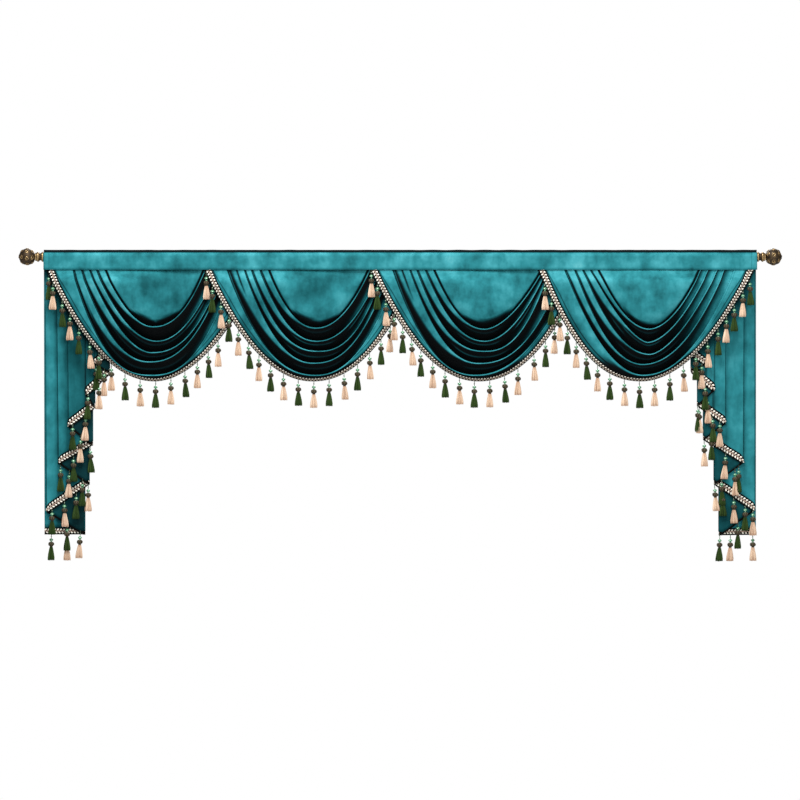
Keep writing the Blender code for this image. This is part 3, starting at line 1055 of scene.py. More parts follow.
@dataclass(frozen=True)
class Ridge:
    """A small ridge on the face below a lip.

    The lip's number, how far down the face it lies, its first and last share of the half
    width, how far it stands out, and how much of the light it catches.
    """

    lip: int
    face: float
    first: float
    last: float
    height: float
    catch: float
    width: float = 0.075  # down the face, as a share of it
    lit_width: float = 0.055
    lit_above: float = 0.02
    fade: float = 0.12  # at its two ends, in shares of the half width

    def at(self, share: np.ndarray, face: float) -> tuple[np.ndarray, np.ndarray]:
        """How far it stands out of a line down the face, and how much light it catches.

        Args:
            share: shares of the half width.
            face: how far down the face the line lies.

        Returns:
            Both, for each share.
        """
        inside = (smooth_step((share - self.first) / self.fade)
                  * smooth_step((self.last - share) / self.fade))
        near = math.exp(-((face - self.face) / self.width) ** 2)
        lit = math.exp(-((face - self.face + self.lit_above) / self.lit_width) ** 2)
        return self.height * near * inside, self.catch * lit * inside


@dataclass(frozen=True)
class FoldLine:
    """One line of a swag's folds, from corner to corner.

    Its curve, how far out it stands (0 in a recess, 1 on a crest), its painted shade at any
    share, the lip whose face it is on, and how far down that face it lies.
    """

    curve: Lip
    out: float
    nap: float = 0.0
    lip: int = 0
    face: float = 0.0

    def numbers(self) -> tuple[float, ...]:
        """All that is carried from line to line: the curve's six numbers, then its own."""
        return (*astuple(self.curve), self.out, self.nap, self.lip, self.face)


OUT, PAINTED, LIP, FACE = range(6, 10)  # where a line's own numbers stand


def between(first: Lip, second: Lip, share: float, drop: float = 0.0) -> Lip:
    """A curve part of the way between two others, and a little lower by drop."""
    made = Lip(*(mix(start, end, share) for start, end in zip(astuple(first), astuple(second))))
    return replace(made, drop=made.drop + drop)


def tucked(lip: Lip, tuck: float, drop: float) -> Lip:
    """The recess above a lip: nearer the panel along the seam, and lower."""
    return replace(lip, left=lip.left + tuck, right=lip.right - tuck, drop=lip.drop + drop)


def fall_of(curve: Lip, along: np.ndarray) -> np.ndarray:
    """How far a curve hangs below the seam at places from the swag's centre.

    Args:
        curve: how it hangs.
        along: the places.

    Returns:
        The drop at each place.
    """
    aside = along - curve.low
    left = np.clip(-aside / (curve.low - curve.left), 0.0, 1.0)
    right = np.clip(aside / (curve.right - curve.low), 0.0, 1.0)
    return curve.drop * (1.0 - left ** curve.round_left - right ** curve.round_right)


def gap_above(curve: Lip, along: np.ndarray, fall: np.ndarray) -> np.ndarray:
    """How far places above a curve are from it, measured square to it.

    Args:
        curve: how it hangs.
        along: the places' distances from the swag's centre.
        fall: their drops below the seam.

    Returns:
        The distances, 0 for a place below the curve.
    """
    step = 1e-4
    slope = (fall_of(curve, along + step) - fall_of(curve, along - step)) / (2.0 * step)
    return np.clip(fall_of(curve, along) - fall, 0.0, None) / np.sqrt(1.0 + slope * slope)


@dataclass(frozen=True)
class SwagShading:
    """How the painted shade and painted light run over a swag, the same on all four.

    Shares are of the half width, or of the way down a fold's face or the hem band. Places,
    reaches and widths are in metres. A dark is 1 where no light is left.
    """

    side_from: float = 0.30  # share where a fold's side comes into view
    side_over: float = 0.45  # and over which it does so
    recess_left: float = 0.2  # what a recess loses of its dark at the left end
    recess_right: float = 0.88  # and at the right end
    recess_first: float = 0.25  # or there in the first recess
    lit_from: float = 0.33  # share where the painted light on the left faces begins
    lit_bend: float = 1.2
    fade_middle: float = 0.035  # how softly it ends, and what the side adds to that
    fade_side: float = 0.27
    middle_later: float = 0.45  # how much further down the dark on the right starts
    dark_end: float = 1.02
    panel_half: float = 0.0875  # the distance for which a panel's slope is given
    # painted shadow in the hollow above the first lip, and in the first recess
    hollow_above: float = 0.010
    hollow_over: float = 0.013
    hollow_half: float = 0.122
    hollow_end: float = 0.045
    first_dark: float = 0.95  # the first recess, seen from the panel
    first_reach: float = 0.0125
    first_over: float = 0.0045
    patch_place: tuple[float, float] = (0.012, 0.055)
    patch_size: tuple[float, float] = (0.075, 0.085)
    stitch_at_seam: float = 0.0035  # the stitches' distance from the hem
    stitch_added: float = 0.0085
    stitch_over: float = 0.10
    stitch_width: float = 0.0018
    stitch_dark: float = 0.50
    # painted shade on the hem band: next to the braid, below the last lip, in its slack and at
    # the foot
    rim_width: float = 0.003
    rim_dark: float = 0.45
    band_over: float = 0.2
    crest_reach: float = 0.10  # of the painted shade below the last lip, as a share of the band
    crest_dark: float = 0.75
    slack_over: float = 0.8
    foot_dark: float = 0.92
    foot_from: float = 0.04
    foot_over: float = 0.3
    # painted light that lifts the band's painted shade: a bright patch, a lift near its top, and
    # the lightest they may make it
    highlight_at: float = 0.26
    highlight_width: float = 0.16
    band_lift: float = 0.08
    lightest: float = -0.45


SWAG_SHADING = SwagShading()


@dataclass(frozen=True)
class Swag:
    """One gathered swag with its cowl folds, and the trim along its hem."""

    number: int
    centre: float
    out_left: float
    out_right: float
    lips: tuple[Lip, ...]
    ridges: tuple[Ridge, ...]
    tassels: tuple[float, ...]
    colours: str
    # painted shade and light on the swag: the painted shadow's edge on the panel, the hem band's
    # painted shade on each side, a darker patch, the painted light on the left faces, where
    # painted shade starts on the right faces, and the band's painted light
    panel_point: tuple[float, float] = (0.0, 0.188)
    panel_slope: float = 0.077
    panel_bend: float = 1.0
    shaded_left: float = 0.12
    shaded_right: float = 0.12
    patch: float = 0.05
    lit_left: float = 0.64
    dark_right: float = 0.28
    band_highlight: float = 0.10
    hem_low: float = 0.0
    hem_round_left: float = 2.03
    hem_round_right: float = 2.03
    half_width: float = 0.3658
    under: float = -0.003
    over: float = -0.0105
    forward_start: float = 0.006
    forward_drop: float = 0.04
    depth_at_seam: float = 0.0034
    depth_at_centre: float = 0.028
    hem_inset: float = 0.0120
    hem_drop: float = 0.3808
    hem_out: float = 0.80
    tuck: float = 0.0046
    braid_side: float = 0.012
    braid_foot: float = 0.0056
    braid_tuck: float = 0.019
    braid_gap: float = 0.0006
    tassel_root: float = 0.003
    stand_off: float = 0.004
    foot_string: float = 0.0380
    side_string: float = 0.0415
    columns: int = 112
    steps_between: int = 2
    flat_width: float = 1.10
    flat_length: float = 0.60
    flat_area: float = 0.28
    panel_inset: float = 0.006  # of the panel's upper corners
    panel_foot: float = 0.003  # how far the panel ends below the first lip
    recess_drop: float = 0.0028  # and every other recess below its lip
    roll_lift: float = 0.0030  # of the rolled cloth over a lip
    clear_at_side: float = 0.004
    string_unevenness: float = 0.12
    foot_steps: int = 1600

    def hem_curve(self) -> Lip:
        """The line where the braid begins."""
        half = self.half_width - self.hem_inset
        return Lip(-half, half, self.hem_low, self.hem_drop, self.hem_round_left,
                   self.hem_round_right)

    def panel(self) -> list[FoldLine]:
        """Lines of the flat panel above the first lip.

        Returns:
            The lines, from the top.
        """
        first = tucked(self.lips[0], self.tuck, self.panel_foot)
        top = Lip(first.left + self.panel_inset, first.right - self.panel_inset, first.low,
                  0.0, 2.0, 2.0)
        stages = ((0.0, 0.50), (0.20, 0.66), (0.40, 0.80), (0.58, 0.85), (0.74, 0.80),
                  (0.85, 0.62), (0.92, 0.40), (0.955, 0.26), (0.98, 0.12))
        return [FoldLine(between(top, first, share), out) for share, out in stages]

    def roll(self, number: int) -> list[FoldLine]:
        """Lines over one lip: the recess above it, its rolled top and its crest.

        Args:
            number: the lip's number.

        Returns:
            The lines, from the top.
        """
        crest = self.lips[number]
        recess = tucked(crest, self.tuck, self.recess_drop)
        # third numbers: painted shade in the recess and over the roll's top; the crest's
        # negative value clears it
        return [
            FoldLine(recess, 0.0, 1.0, number),
            FoldLine(between(crest, recess, 0.72, -self.roll_lift), 0.45, 0.95, number),
            FoldLine(between(crest, recess, 0.40, -self.roll_lift), 0.86, 0.62, number),
            FoldLine(crest, 1.0, -0.50, number),
        ]

    def face(self, number: int) -> list[FoldLine]:
        """Lines down the face between a lip and the next recess.

        Args:
            number: the lip's number.

        Returns:
            The lines, from the top.
        """
        crest = self.lips[number]
        after = tucked(self.lips[number + 1], self.tuck, self.recess_drop)
        stages = ((0.022, 0.995), (0.05, 0.985), (0.11, 0.95), (0.19, 0.89), (0.27, 0.82),
                  (0.35, 0.75), (0.43, 0.68), (0.52, 0.59), (0.62, 0.49), (0.74, 0.35),
                  (0.87, 0.18))
        return [FoldLine(between(crest, after, share), out, 0.0, number, share)
                for share, out in stages]

    def hem_band(self) -> list[FoldLine]:
        """Lines of the band between the last lip and the braid, with its stitched hem.

        Returns:
            The lines, from the top.
        """
        last = self.lips[-1]
        hem = self.hem_curve()
        shares = (0.06, 0.13, 0.20, 0.28, 0.36, 0.44, 0.52, 0.60, 0.67, 0.73, 0.79, 0.84, 0.88,
                  0.92, 0.96, 1.0)
        return [FoldLine(between(last, hem, share), mix(1.0, self.hem_out, share * share), 0.0,
                         len(self.lips) - 1, -share) for share in shares]

    def lines(self) -> list[FoldLine]:
        """The fold lines from the top panel to the hem.

        Returns:
            The lines, from the top.
        """
        made = self.panel()
        for number in range(len(self.lips)):
            made += self.roll(number)
            if number < len(self.lips) - 1:
                made += self.face(number)
        return made + self.hem_band()

    def table(self) -> np.ndarray:
        """The numbers of every row, on smooth curves through the fold lines.

        Returns:
            One row of a fold line's numbers for each row of the cloth.
        """
        keys = np.array([line.numbers() for line in self.lines()])
        padded = np.concatenate([keys[:1], keys, keys[-1:]])
        rows = []
        for key in range(len(keys) - 1):
            before, start, end, after = padded[key:key + 4]
            for step in range(self.steps_between):
                share = step / self.steps_between
                row = 0.5 * (2.0 * start + (end - before) * share
                             + (2.0 * before - 5.0 * start + 4.0 * end - after) * share ** 2
                             + (3.0 * start - before - 3.0 * end + after) * share ** 3)
                row[PAINTED] = mix(start[PAINTED], end[PAINTED], share)
                row[LIP] = start[LIP]
                same_face = start[FACE] * end[FACE] > 0.0
                row[FACE] = mix(start[FACE], end[FACE], share) if same_face else start[FACE]
                rows.append(row)
        rows.append(keys[-1])
        return np.array(rows)

    def shares(self) -> np.ndarray:
        """Shares of the half width, closest together near the seam."""
        return np.sin(0.5 * math.pi * np.linspace(-1.0, 1.0, self.columns + 1))

    def point(self, share: np.ndarray, curve: Lip, out: np.ndarray) -> np.ndarray:
        """Points of one fold line.

        Args:
            share: shares of the half width, from -1 to 1.
            curve: how the line hangs.
            out: how far out it stands.

        Returns:
            One point for each share.
        """
        along = mix(curve.left, curve.right, 0.5 * (share + 1.0))
        fall = fall_of(curve, along)
        rightward = smooth_step(0.5 * (share + 1.0))
        left = self.over if self.out_left else self.under
        right = self.over if self.out_right else self.under
        out_below = mix(self.out_left, self.out_right, rightward)
        forward = smooth_step((fall - self.forward_start) / self.forward_drop)
        depth = mix(left, right, rightward) - out_below * forward
        fold = mix(self.depth_at_centre, self.depth_at_seam, share * share)
        depth = depth - (out - 0.5) * fold
        return np.stack([self.centre + along, depth, SEAM - fall], -1)

    def grid(self) -> tuple[np.ndarray, np.ndarray]:
        """The cloth's points and painted shade, by row and column.

        Returns:
            Both tables.
        """
        share = self.shares()
        rows, painted_lights = [], []
        for row in self.table():
            out, nap, number, face = row[OUT:]
            caught = np.zeros_like(share)
            raised = np.zeros_like(share)
            for ridge in self.ridges:
                if face > 0.0 and int(number) == ridge.lip:
                    height, light = ridge.at(share, face)
                    raised += height
                    caught += light
            line = self.point(share, Lip(*row[:OUT]), out + raised)
            rows.append(line)
            turned = self._turned(share, SEAM - line[:, 2], line[:, 0] - self.centre, nap, face,
                                  int(number))
            # light caught by the ridges lifts the painted shade and a negative catch paints
            # shade; nothing is lighter than the unshaded velvet
            lighter = np.clip(caught, 0.0, 1.0)
            painted_lights.append(np.maximum(turned * (1.0 - lighter), -caught * (caught < 0.0)))
        return np.array(rows), np.array(painted_lights)

    def _turned(self, share: np.ndarray, fall: np.ndarray, along: np.ndarray, nap: float,
                face: float, number: int) -> np.ndarray:
        """How much painted shade lies along one fold line.

        Args:
            share: shares of the half width.
            fall: the points' drops.
            along: the points' places from the swag's centre.
            nap: the line's own painted shade.
            face: how far down a fold's face it lies.
            number: the number of its lip.

        Returns:
            The painted shade of each point.
        """
        if face < 0.0:
            return self._hemmed(share, fall, along, -face)
        off_centre = np.abs(share)
        leftward = share < 0.0
        shown = smooth_step((off_centre - SWAG_SHADING.side_from) / SWAG_SHADING.side_over)
        # painted shade in a recess and over the roll's top; the crest's negative value clears it
        if nap > 0.0:
            lost = SWAG_SHADING.recess_right if number > 0 else SWAG_SHADING.recess_first
            return nap * (1.0 - np.where(leftward, SWAG_SHADING.recess_left * off_centre, lost * shown))
        if nap < 0.0:
            return np.full_like(share, nap)
        # on a face: painted light below the crest on the left, painted shade below the crest on
        # the right
        if face > 0.0:
            reach = np.clip((off_centre - SWAG_SHADING.lit_from) / (1.0 - SWAG_SHADING.lit_from), 0.0, 1.0)
            lit = self.lit_left * reach ** SWAG_SHADING.lit_bend
            fading = smooth_step((face - lit) / (SWAG_SHADING.fade_middle + SWAG_SHADING.fade_side * off_centre))
            start = self.dark_right + SWAG_SHADING.middle_later * (1.0 - off_centre)
            growing = 1.0 - shown * smooth_step((face - start) / (SWAG_SHADING.dark_end - start))
            return np.where(leftward, fading, growing)
        return self._panel_shade(fall, along)

    def _panel_shade(self, fall: np.ndarray, along: np.ndarray) -> np.ndarray:
        """The flat panel's painted shade: a darker patch, painted shadow in the hollow above the
        first lip and in the first recess.

        Args:
            fall: the points' drops.
            along: the points' places from the swag's centre.

        Returns:
            The nap value of each point.
        """
        point, deepest = self.panel_point
        aside = np.abs(along - point)
        edge = deepest - self.panel_slope * (aside / SWAG_SHADING.panel_half) ** self.panel_bend
        hollow = smooth_step((fall - edge + SWAG_SHADING.hollow_above) / SWAG_SHADING.hollow_over)
        hollow *= smooth_step((SWAG_SHADING.hollow_half - aside) / SWAG_SHADING.hollow_end)
        hollow *= fall < self.lips[0].drop
        gap = gap_above(self.lips[0], along, fall)
        recess = SWAG_SHADING.first_dark * smooth_step((SWAG_SHADING.first_reach - gap) / SWAG_SHADING.first_over)
        (place, down), (wide, high) = SWAG_SHADING.patch_place, SWAG_SHADING.patch_size
        patch = self.patch * np.exp(-((along - place) / wide) ** 2
                                    - ((fall - down) / high) ** 2)
        return np.maximum(np.maximum(hollow, recess), patch)

    def _hemmed(self, share: np.ndarray, fall: np.ndarray, along: np.ndarray,
                down: float) -> np.ndarray:
        """Painted shade and painted light on the band above the braid, with its darker line of
        stitches.

        Args:
            share: shares of the half width.
            fall: the points' drops.
            along: the points' places from the swag's centre.
            down: how far down the band they lie.

        Returns:
            The painted shade of each point.
        """
        gap = gap_above(self.hem_curve(), along, fall)
        sewn = SWAG_SHADING.stitch_at_seam + SWAG_SHADING.stitch_added * smooth_step(fall / SWAG_SHADING.stitch_over)
        aside = smooth_step((np.abs(share) - SWAG_SHADING.side_from) / SWAG_SHADING.band_over)
        rightward = aside * (share > 0.0)
        stitch = np.exp(-((gap - sewn) / SWAG_SHADING.stitch_width) ** 2) * aside
        rim = np.exp(-gap / SWAG_SHADING.rim_width)
        under_crest = math.exp(-down / SWAG_SHADING.crest_reach) * rightward
        deep = np.where(share < 0.0, self.shaded_left, self.shaded_right)
        slack = deep * smooth_step(down / SWAG_SHADING.slack_over) * (1.0 - np.abs(share) ** 3)
        foot = smooth_step((down - SWAG_SHADING.foot_from) / SWAG_SHADING.foot_over) * (1.0 - aside)
        crown = math.exp(-((down - SWAG_SHADING.highlight_at) / SWAG_SHADING.highlight_width) ** 2) * rightward
        # painted shade in the slack, at the foot, next to the braid and under the last crest,
        # and the darker stitch line, less painted light near the band's top and on a bright
        # patch
        dark = (slack + SWAG_SHADING.foot_dark * foot + SWAG_SHADING.stitch_dark * stitch + SWAG_SHADING.rim_dark * rim
                + SWAG_SHADING.crest_dark * under_crest - SWAG_SHADING.band_lift * (1.0 - down)
                - self.band_highlight * crown)
        return np.clip(dark, SWAG_SHADING.lightest, 1.0)

    def hem(self, share: np.ndarray) -> np.ndarray:
        """Edge of the cloth, where the braid begins."""
        return self.point(share, self.hem_curve(), self.hem_out)

    def foot(self, share: np.ndarray) -> np.ndarray:
        """Outer edge of the braid, which turns back under the foot of the swag.

        Args:
            share: shares of the half width.

        Returns:
            One point for each share.
        """
        half = self.half_width + self.braid_side
        curve = replace(self.hem_curve(), left=-half, right=half,
                        drop=self.hem_drop + 2.0 * self.braid_foot)
        line = self.point(share, curve, self.hem_out)
        line[:, 1] = self.hem(share)[:, 1] + self.braid_tuck * np.sqrt(1.0 - share * share)
        return line

    def ribbon(self) -> Ribbon:
        """Where the braid runs.

        Returns:
            The ribbon, from left to right.
        """
        share = self.shares()
        top = self.hem(share)
        foot = self.foot(share)
        width = unit(foot - top)
        top = top + width * self.braid_gap
        return Ribbon(0.5 * (top + foot), width, 0.5 * np.linalg.norm(foot - top, axis=1))

    def hung(self) -> list[Hung]:
        """The tassels, each where it hangs along the foot of the braid.

        Returns:
            Their places.
        """
        share = np.linspace(-1.0, 1.0, self.foot_steps + 1)
        foot = self.foot(share)
        width = unit(foot - self.hem(share))
        places = []
        for number, (aside, letter) in enumerate(zip(self.tassels, self.colours)):
            nearest = int(np.argmin(np.abs(foot[:, 0] - self.centre - aside)))
            off_centre = abs(share[nearest])
            root = foot[nearest] - width[nearest] * self.tassel_root
            string = mix(self.foot_string, self.side_string, off_centre ** 1.5)
            string *= 1.0 + self.string_unevenness * wobble(8.0 + self.number, 4.7 * number)
            at_side = float(smooth_step((off_centre - 0.80) / 0.10))
            clear = self.stand_off + self.clear_at_side * at_side
            places.append(Hung(tuple(root), clear, TasselColour(letter), string))
        return places

    def build(self, finishes: Finishes) -> None:
        """Make the swag and its trim.

        Args:
            finishes: the valance's materials.
        """
        grid, nap = self.grid()
        name = f"swag_{self.number}"
        cloth = sheet_piece(name + "_cloth", grid, nap, finishes.velvet)
        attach(cloth, "root")
        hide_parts(name)
        trim = Trim(f"swag_trim_{self.number}", finishes)
        pieces = trim.sew(self.ribbon(), self.hung())
        LOG.info("%s: %d points, %d tassels", name, nap.size, len(self.tassels))


RIDGES_LEFTMOST = (
    Ridge(1, 0.32, -0.62, 0.62, 0.07, 0.30),
    Ridge(1, 0.34, 0.46, 0.82, 0.10, 0.80),
    Ridge(2, 0.42, -0.72, 0.55, 0.07, 0.26),
    Ridge(3, 0.52, -0.70, 0.50, 0.07, 0.26),
    Ridge(3, 0.66, -1.10, -0.70, 0.08, 0.70),
)
RIDGES_MIDDLE = (
    Ridge(0, 0.32, -0.45, 0.30, 0.06, 0.24),
    Ridge(1, 0.34, -0.48, 0.30, 0.08, 0.44),
    Ridge(1, 0.34, 0.42, 0.80, 0.10, 0.62),
    Ridge(2, 0.46, -0.50, 0.40, 0.08, 0.40),
    Ridge(3, 0.44, -0.30, 0.40, 0.06, 0.24),
    Ridge(3, 0.44, -1.10, -0.84, 0.02, -0.95),
    Ridge(3, 0.66, -1.10, -0.86, 0.12, 0.95),
)
RIDGES_RIGHTMOST = (
    Ridge(0, 0.30, -0.40, 0.20, 0.06, 0.26),
    Ridge(1, 0.24, -0.50, 0.25, 0.07, 0.42),
    Ridge(1, 0.55, -0.66, -0.34, 0.10, 0.40),
    Ridge(2, 0.46, -0.50, 0.45, 0.07, 0.28),
    Ridge(3, 0.28, -0.40, 0.35, 0.06, 0.24),
)
SWAGS = (
    Swag(1, -0.8586, 0.034, 0.000, (
        Lip(-0.1796, 0.1780, -0.0049, 0.2034, 1.88, 2.25),
        Lip(-0.2093, 0.2188, 0.0088, 0.2538, 1.95, 2.01),
        Lip(-0.2335, 0.2400, -0.0105, 0.2937, 1.80, 2.40),
        Lip(-0.2618, 0.2500, -0.0158, 0.3259, 2.15, 2.30),
        Lip(-0.2905, 0.2770, -0.0088, 0.3725, 2.60, 2.43),
    ), RIDGES_LEFTMOST,
         (-0.373, -0.355, -0.324, -0.296, -0.265, -0.229, -0.195, -0.151, -0.104, -0.051,
          0.004, 0.057, 0.106, 0.150, 0.188, 0.223),
         "GCGCGCGCGCGCGCGC", (0.0035, 0.188), 0.040, shaded_left=0.32, patch=0.36,
         hem_round_right=1.88),
    Swag(2, -0.3073, 0.026, 0.000, (
        Lip(-0.1593, 0.2030, 0.0140, 0.2079, 2.12, 2.03),
        Lip(-0.1890, 0.2400, 0.0158, 0.2538, 2.15, 2.10),
        Lip(-0.2188, 0.2520, 0.0228, 0.2888, 2.40, 2.40),
        Lip(-0.2433, 0.2723, 0.0053, 0.3304, 2.18, 2.33),
        Lip(-0.3028, 0.3038, 0.0123, 0.3725, 2.30, 2.22),
    ), RIDGES_MIDDLE,
         (-0.374, -0.351, -0.322, -0.293, -0.260, -0.226, -0.188, -0.147, -0.102, -0.050,
          0.005, 0.059, 0.111, 0.159, 0.201, 0.242, 0.275),
         "CGCGCGCGCGCGCGCGC", (0.0240, 0.188), 0.036, 1.3, 0.26, patch=0.34,
         hem_round_right=2.15),
    Swag(3, 0.2730, 0.026, 0.000, (
        Lip(-0.1621, 0.2293, 0.0228, 0.2118, 2.12, 1.72),
        Lip(-0.1908, 0.2420, 0.0228, 0.2538, 2.15, 1.88),
        Lip(-0.2205, 0.2494, 0.0228, 0.2888, 2.40, 2.40),
        Lip(-0.2450, 0.3010, 0.0025, 0.3311, 2.18, 2.35),
        Lip(-0.3045, 0.3450, -0.0095, 0.3725, 2.30, 2.10),
    ), RIDGES_MIDDLE,
         (-0.379, -0.355, -0.327, -0.296, -0.267, -0.237, -0.203, -0.161, -0.118, -0.067,
          -0.014, 0.040, 0.092, 0.140, 0.196, 0.237, 0.270),
         "CGCCGCGCGCGCGCCGC", (0.0120, 0.186), 0.034, 1.8, 0.26, patch=0.0,
         hem_round_right=2.15),
    Swag(4, 0.8600, 0.026, 0.034, (
        Lip(-0.1750, 0.1925, 0.0070, 0.2118, 1.90, 1.85),
        Lip(-0.2013, 0.2180, 0.0018, 0.2583, 1.50, 1.74),
        Lip(-0.2275, 0.2500, 0.0105, 0.3000, 2.00, 1.61),
        Lip(-0.2555, 0.2740, -0.0140, 0.3350, 2.05, 2.02),
        Lip(-0.2905, 0.3112, -0.0140, 0.3725, 1.95, 2.09),
    ), RIDGES_RIGHTMOST,
         (-0.359, -0.335, -0.307, -0.279, -0.248, -0.215, -0.173, -0.130, -0.079, -0.026,
          0.028, 0.081, 0.128, 0.173, 0.214, 0.251, 0.281, 0.308, 0.338, 0.362),
         "CGCGCGCGCGCGCGCGCGCG", (0.0250, 0.197), 0.040, 2.2, 0.44, patch=0.0,
         dark_right=-0.32, band_highlight=0.42, hem_low=-0.0160, hem_round_left=2.28,
         hem_round_right=1.89),
)


# Tails


@dataclass(frozen=True)
class Pleat:
    """One fold edge of a tail and the panel that starts there.

    Inset from the heading's end at the seam and at the hem, drop of the braid's middle, how
    far the panel's tassels hang in front of it, where they hang, and their colours.
    """

    inset_top: float
    inset_hem: float
    drop: float
    stand_off: float
    tassels: tuple[float, ...]
    colours: str


@dataclass(frozen=True)
class Tail:
    """A pleated tail, folded to and fro from its rear outer edge to its front inner one."""

    name: str
    side: float
    pleats: tuple[Pleat, ...]
    end: float = 1.2475
    back: float = 0.0150
    pitch: float = 0.00165
    pitch_slope: float = 0.004
    pitch_spread: float = 0.0035
    braid_width: float = 0.022
    widest_braid: float = 1.25
    turned_rim: float = 0.12
    tassel_root: float = 0.003
    swag_centre: float = 0.8593
    swag_half: float = 0.3778
    swag_drop: float = 0.3920
    # painted shade of the inner panels, towards the swag
    shade: float = 0.0
    ripple: float = 0.0016
    ripple_length: float = 0.115
    ripple_free: float = 0.15  # drop where the waviness is full
    edge_shade: float = 0.62  # painted shadow behind a panel's edge, and below the swag's foot
    edge_reach: float = 0.0024
    swag_reach: float = 0.022
    underside_dark: float = 0.45  # darker colour of their own, on the panels that show their underside
    braid_gap: float = 0.0003
    panel_steps: int = 12
    fold_steps: int = 6
    rows: int = 64
    flat_width: float = 1.42
    flat_length: float = 0.92
    flat_area: float = 0.78

    def depth(self, layer: np.ndarray, drop: np.ndarray) -> np.ndarray:
        """How deep a layer lies at a drop."""
        pitch = self.pitch + self.pitch_slope * drop + self.pitch_spread * drop * drop
        return self.back - layer * pitch

    def columns(self) -> list[Column]:
        """Columns (panel, share, layer, turn) along the folded cloth.

        Returns:
            The columns, from the outer edge.
        """
        made = []
        panels = len(self.pleats) - 1
        for panel in range(panels):
            last = panel == panels - 1
            starts, ends = -0.5 if panel else 0.0, 0.0 if last else -0.5
            for step in range(self.panel_steps + 1):
                share = step / self.panel_steps
                turn = starts * (1.0 - share) if share < 0.5 else ends * share
                made.append((panel, share, float(panel), turn))
            for step in range(1, 1 if last else self.fold_steps):
                angle = math.pi * step / self.fold_steps
                layer = panel + 0.5 * (1.0 - math.cos(angle))
                made.append((panel, 1.0, layer, -0.5 + 0.5 * math.sin(angle)))
        return made

    def inset(self, panel: int, share: float, share_down: np.ndarray) -> np.ndarray:
        """How far from the heading's end a panel's cloth lies, by shares across and down.

        Args:
            panel: the panel's number.
            share: how far across the panel.
            share_down: how far down the cloth, from 0 to 1.

        Returns:
            The insets.
        """
        start, end = self.pleats[panel], self.pleats[panel + 1]
        return mix(mix(start.inset_top, end.inset_top, share),
                   mix(start.inset_hem, end.inset_hem, share), share_down)

    def point(self, column: Column, drop: np.ndarray,
              share_down: np.ndarray) -> np.ndarray:
        """Points of one column.

        Args:
            column: panel, share, layer and turn.
            drop: drops below the seam.
            share_down: how far down the cloth each one is, from 0 to 1.

        Returns:
            One point for each drop.
        """
        panel, share, layer, turn = column
        start, end = self.pleats[panel], self.pleats[panel + 1]
        inset = self.inset(panel, share, share_down)
        pitch = self.depth(0.0, drop) - self.depth(1.0, drop)
        outward = math.copysign(1.0, end.inset_top - start.inset_top)
        if share < 0.5:
            outward = -outward
        inset = inset + outward * turn * pitch
        deep = self.depth(layer, drop)
        return np.stack([self.side * (self.end - inset), deep + self._ripple(inset, drop),
                         SEAM - drop], -1)

    def _ripple(self, inset: np.ndarray, drop: np.ndarray) -> np.ndarray:
        """A slow waviness that all the layers share, so that they stay apart."""
        free = np.minimum(drop / self.ripple_free, 1.0)
        return -self.ripple * free * np.sin(FULL_TURN * (inset / self.ripple_length
                                                         + 0.35 * drop))

    def braid_edges(self, panel: int, share: float) -> tuple[float, float]:
        """Drops of the braid's two edges on a panel; only its rim shows where it turns back.

        Args:
            panel: the panel's number.
            share: how far across the panel.

        Returns:
            The upper edge's drop and the lower edge's.
        """
        start, end = self.pleats[panel], self.pleats[panel + 1]
        run = abs(end.inset_hem - start.inset_hem)
        height = self.braid_width * math.hypot(run, end.drop - start.drop) / run
        height = min(height, self.widest_braid * self.braid_width)
        foot = mix(start.drop, end.drop, share) + 0.5 * height
        return foot - height * (self.turned_rim if panel % 2 else 1.0), foot

    def column_edges(self, column: Column) -> tuple[float, float]:
        """The braid's edges on a column, eased where two panels meet.

        Args:
            column: panel, share, layer and turn.

        Returns:
            The upper edge's drop and the lower edge's.
        """
        panel, share = column[:2]
        top, foot = self.braid_edges(panel, share)
        neighbour = panel + (1 if share > 0.5 else -1)
        if 0 <= neighbour < len(self.pleats) - 1:
            reach = float(smooth_step((abs(share - 0.5) - 0.40) / 0.10))
            other_top, other_foot = self.braid_edges(neighbour, 0.0 if share > 0.5 else 1.0)
            top = mix(top, 0.5 * (top + other_top), reach)
            foot = mix(foot, 0.5 * (foot + other_foot), reach)
        return top, foot

    def grid(self) -> tuple[np.ndarray, np.ndarray]:
        """The cloth's points and painted shade, by row and column.

        Returns:
            Both tables.
        """
        down = np.linspace(0.0, 1.0, self.rows + 1)
        lines, painted_lights = [], []
        for column in self.columns():
            drop = down * self.column_edges(column)[0]
            points = self.point(column, drop, down)
            lines.append(points)
            painted_lights.append(self._covered(column, drop, down))
        grid = np.array(lines).transpose(1, 0, 2)
        nap = np.array(painted_lights).T
        if self.side > 0.0:
            return grid[:, ::-1], nap[:, ::-1]
        return grid, nap

    def reverse(self, nap: np.ndarray) -> np.ndarray:
        """The back's values: its own darker colour alone where the cloth's back faces the
        window, elsewhere with the painted shade.
        """
        plain = [panel % 2 == 0 and layer == panel for panel, _, layer, _ in self.columns()]
        plain = np.array(plain[::-1] if self.side > 0.0 else plain)
        return np.where(plain, BACK_DARKNESS, np.maximum(nap, BACK_DARKNESS))

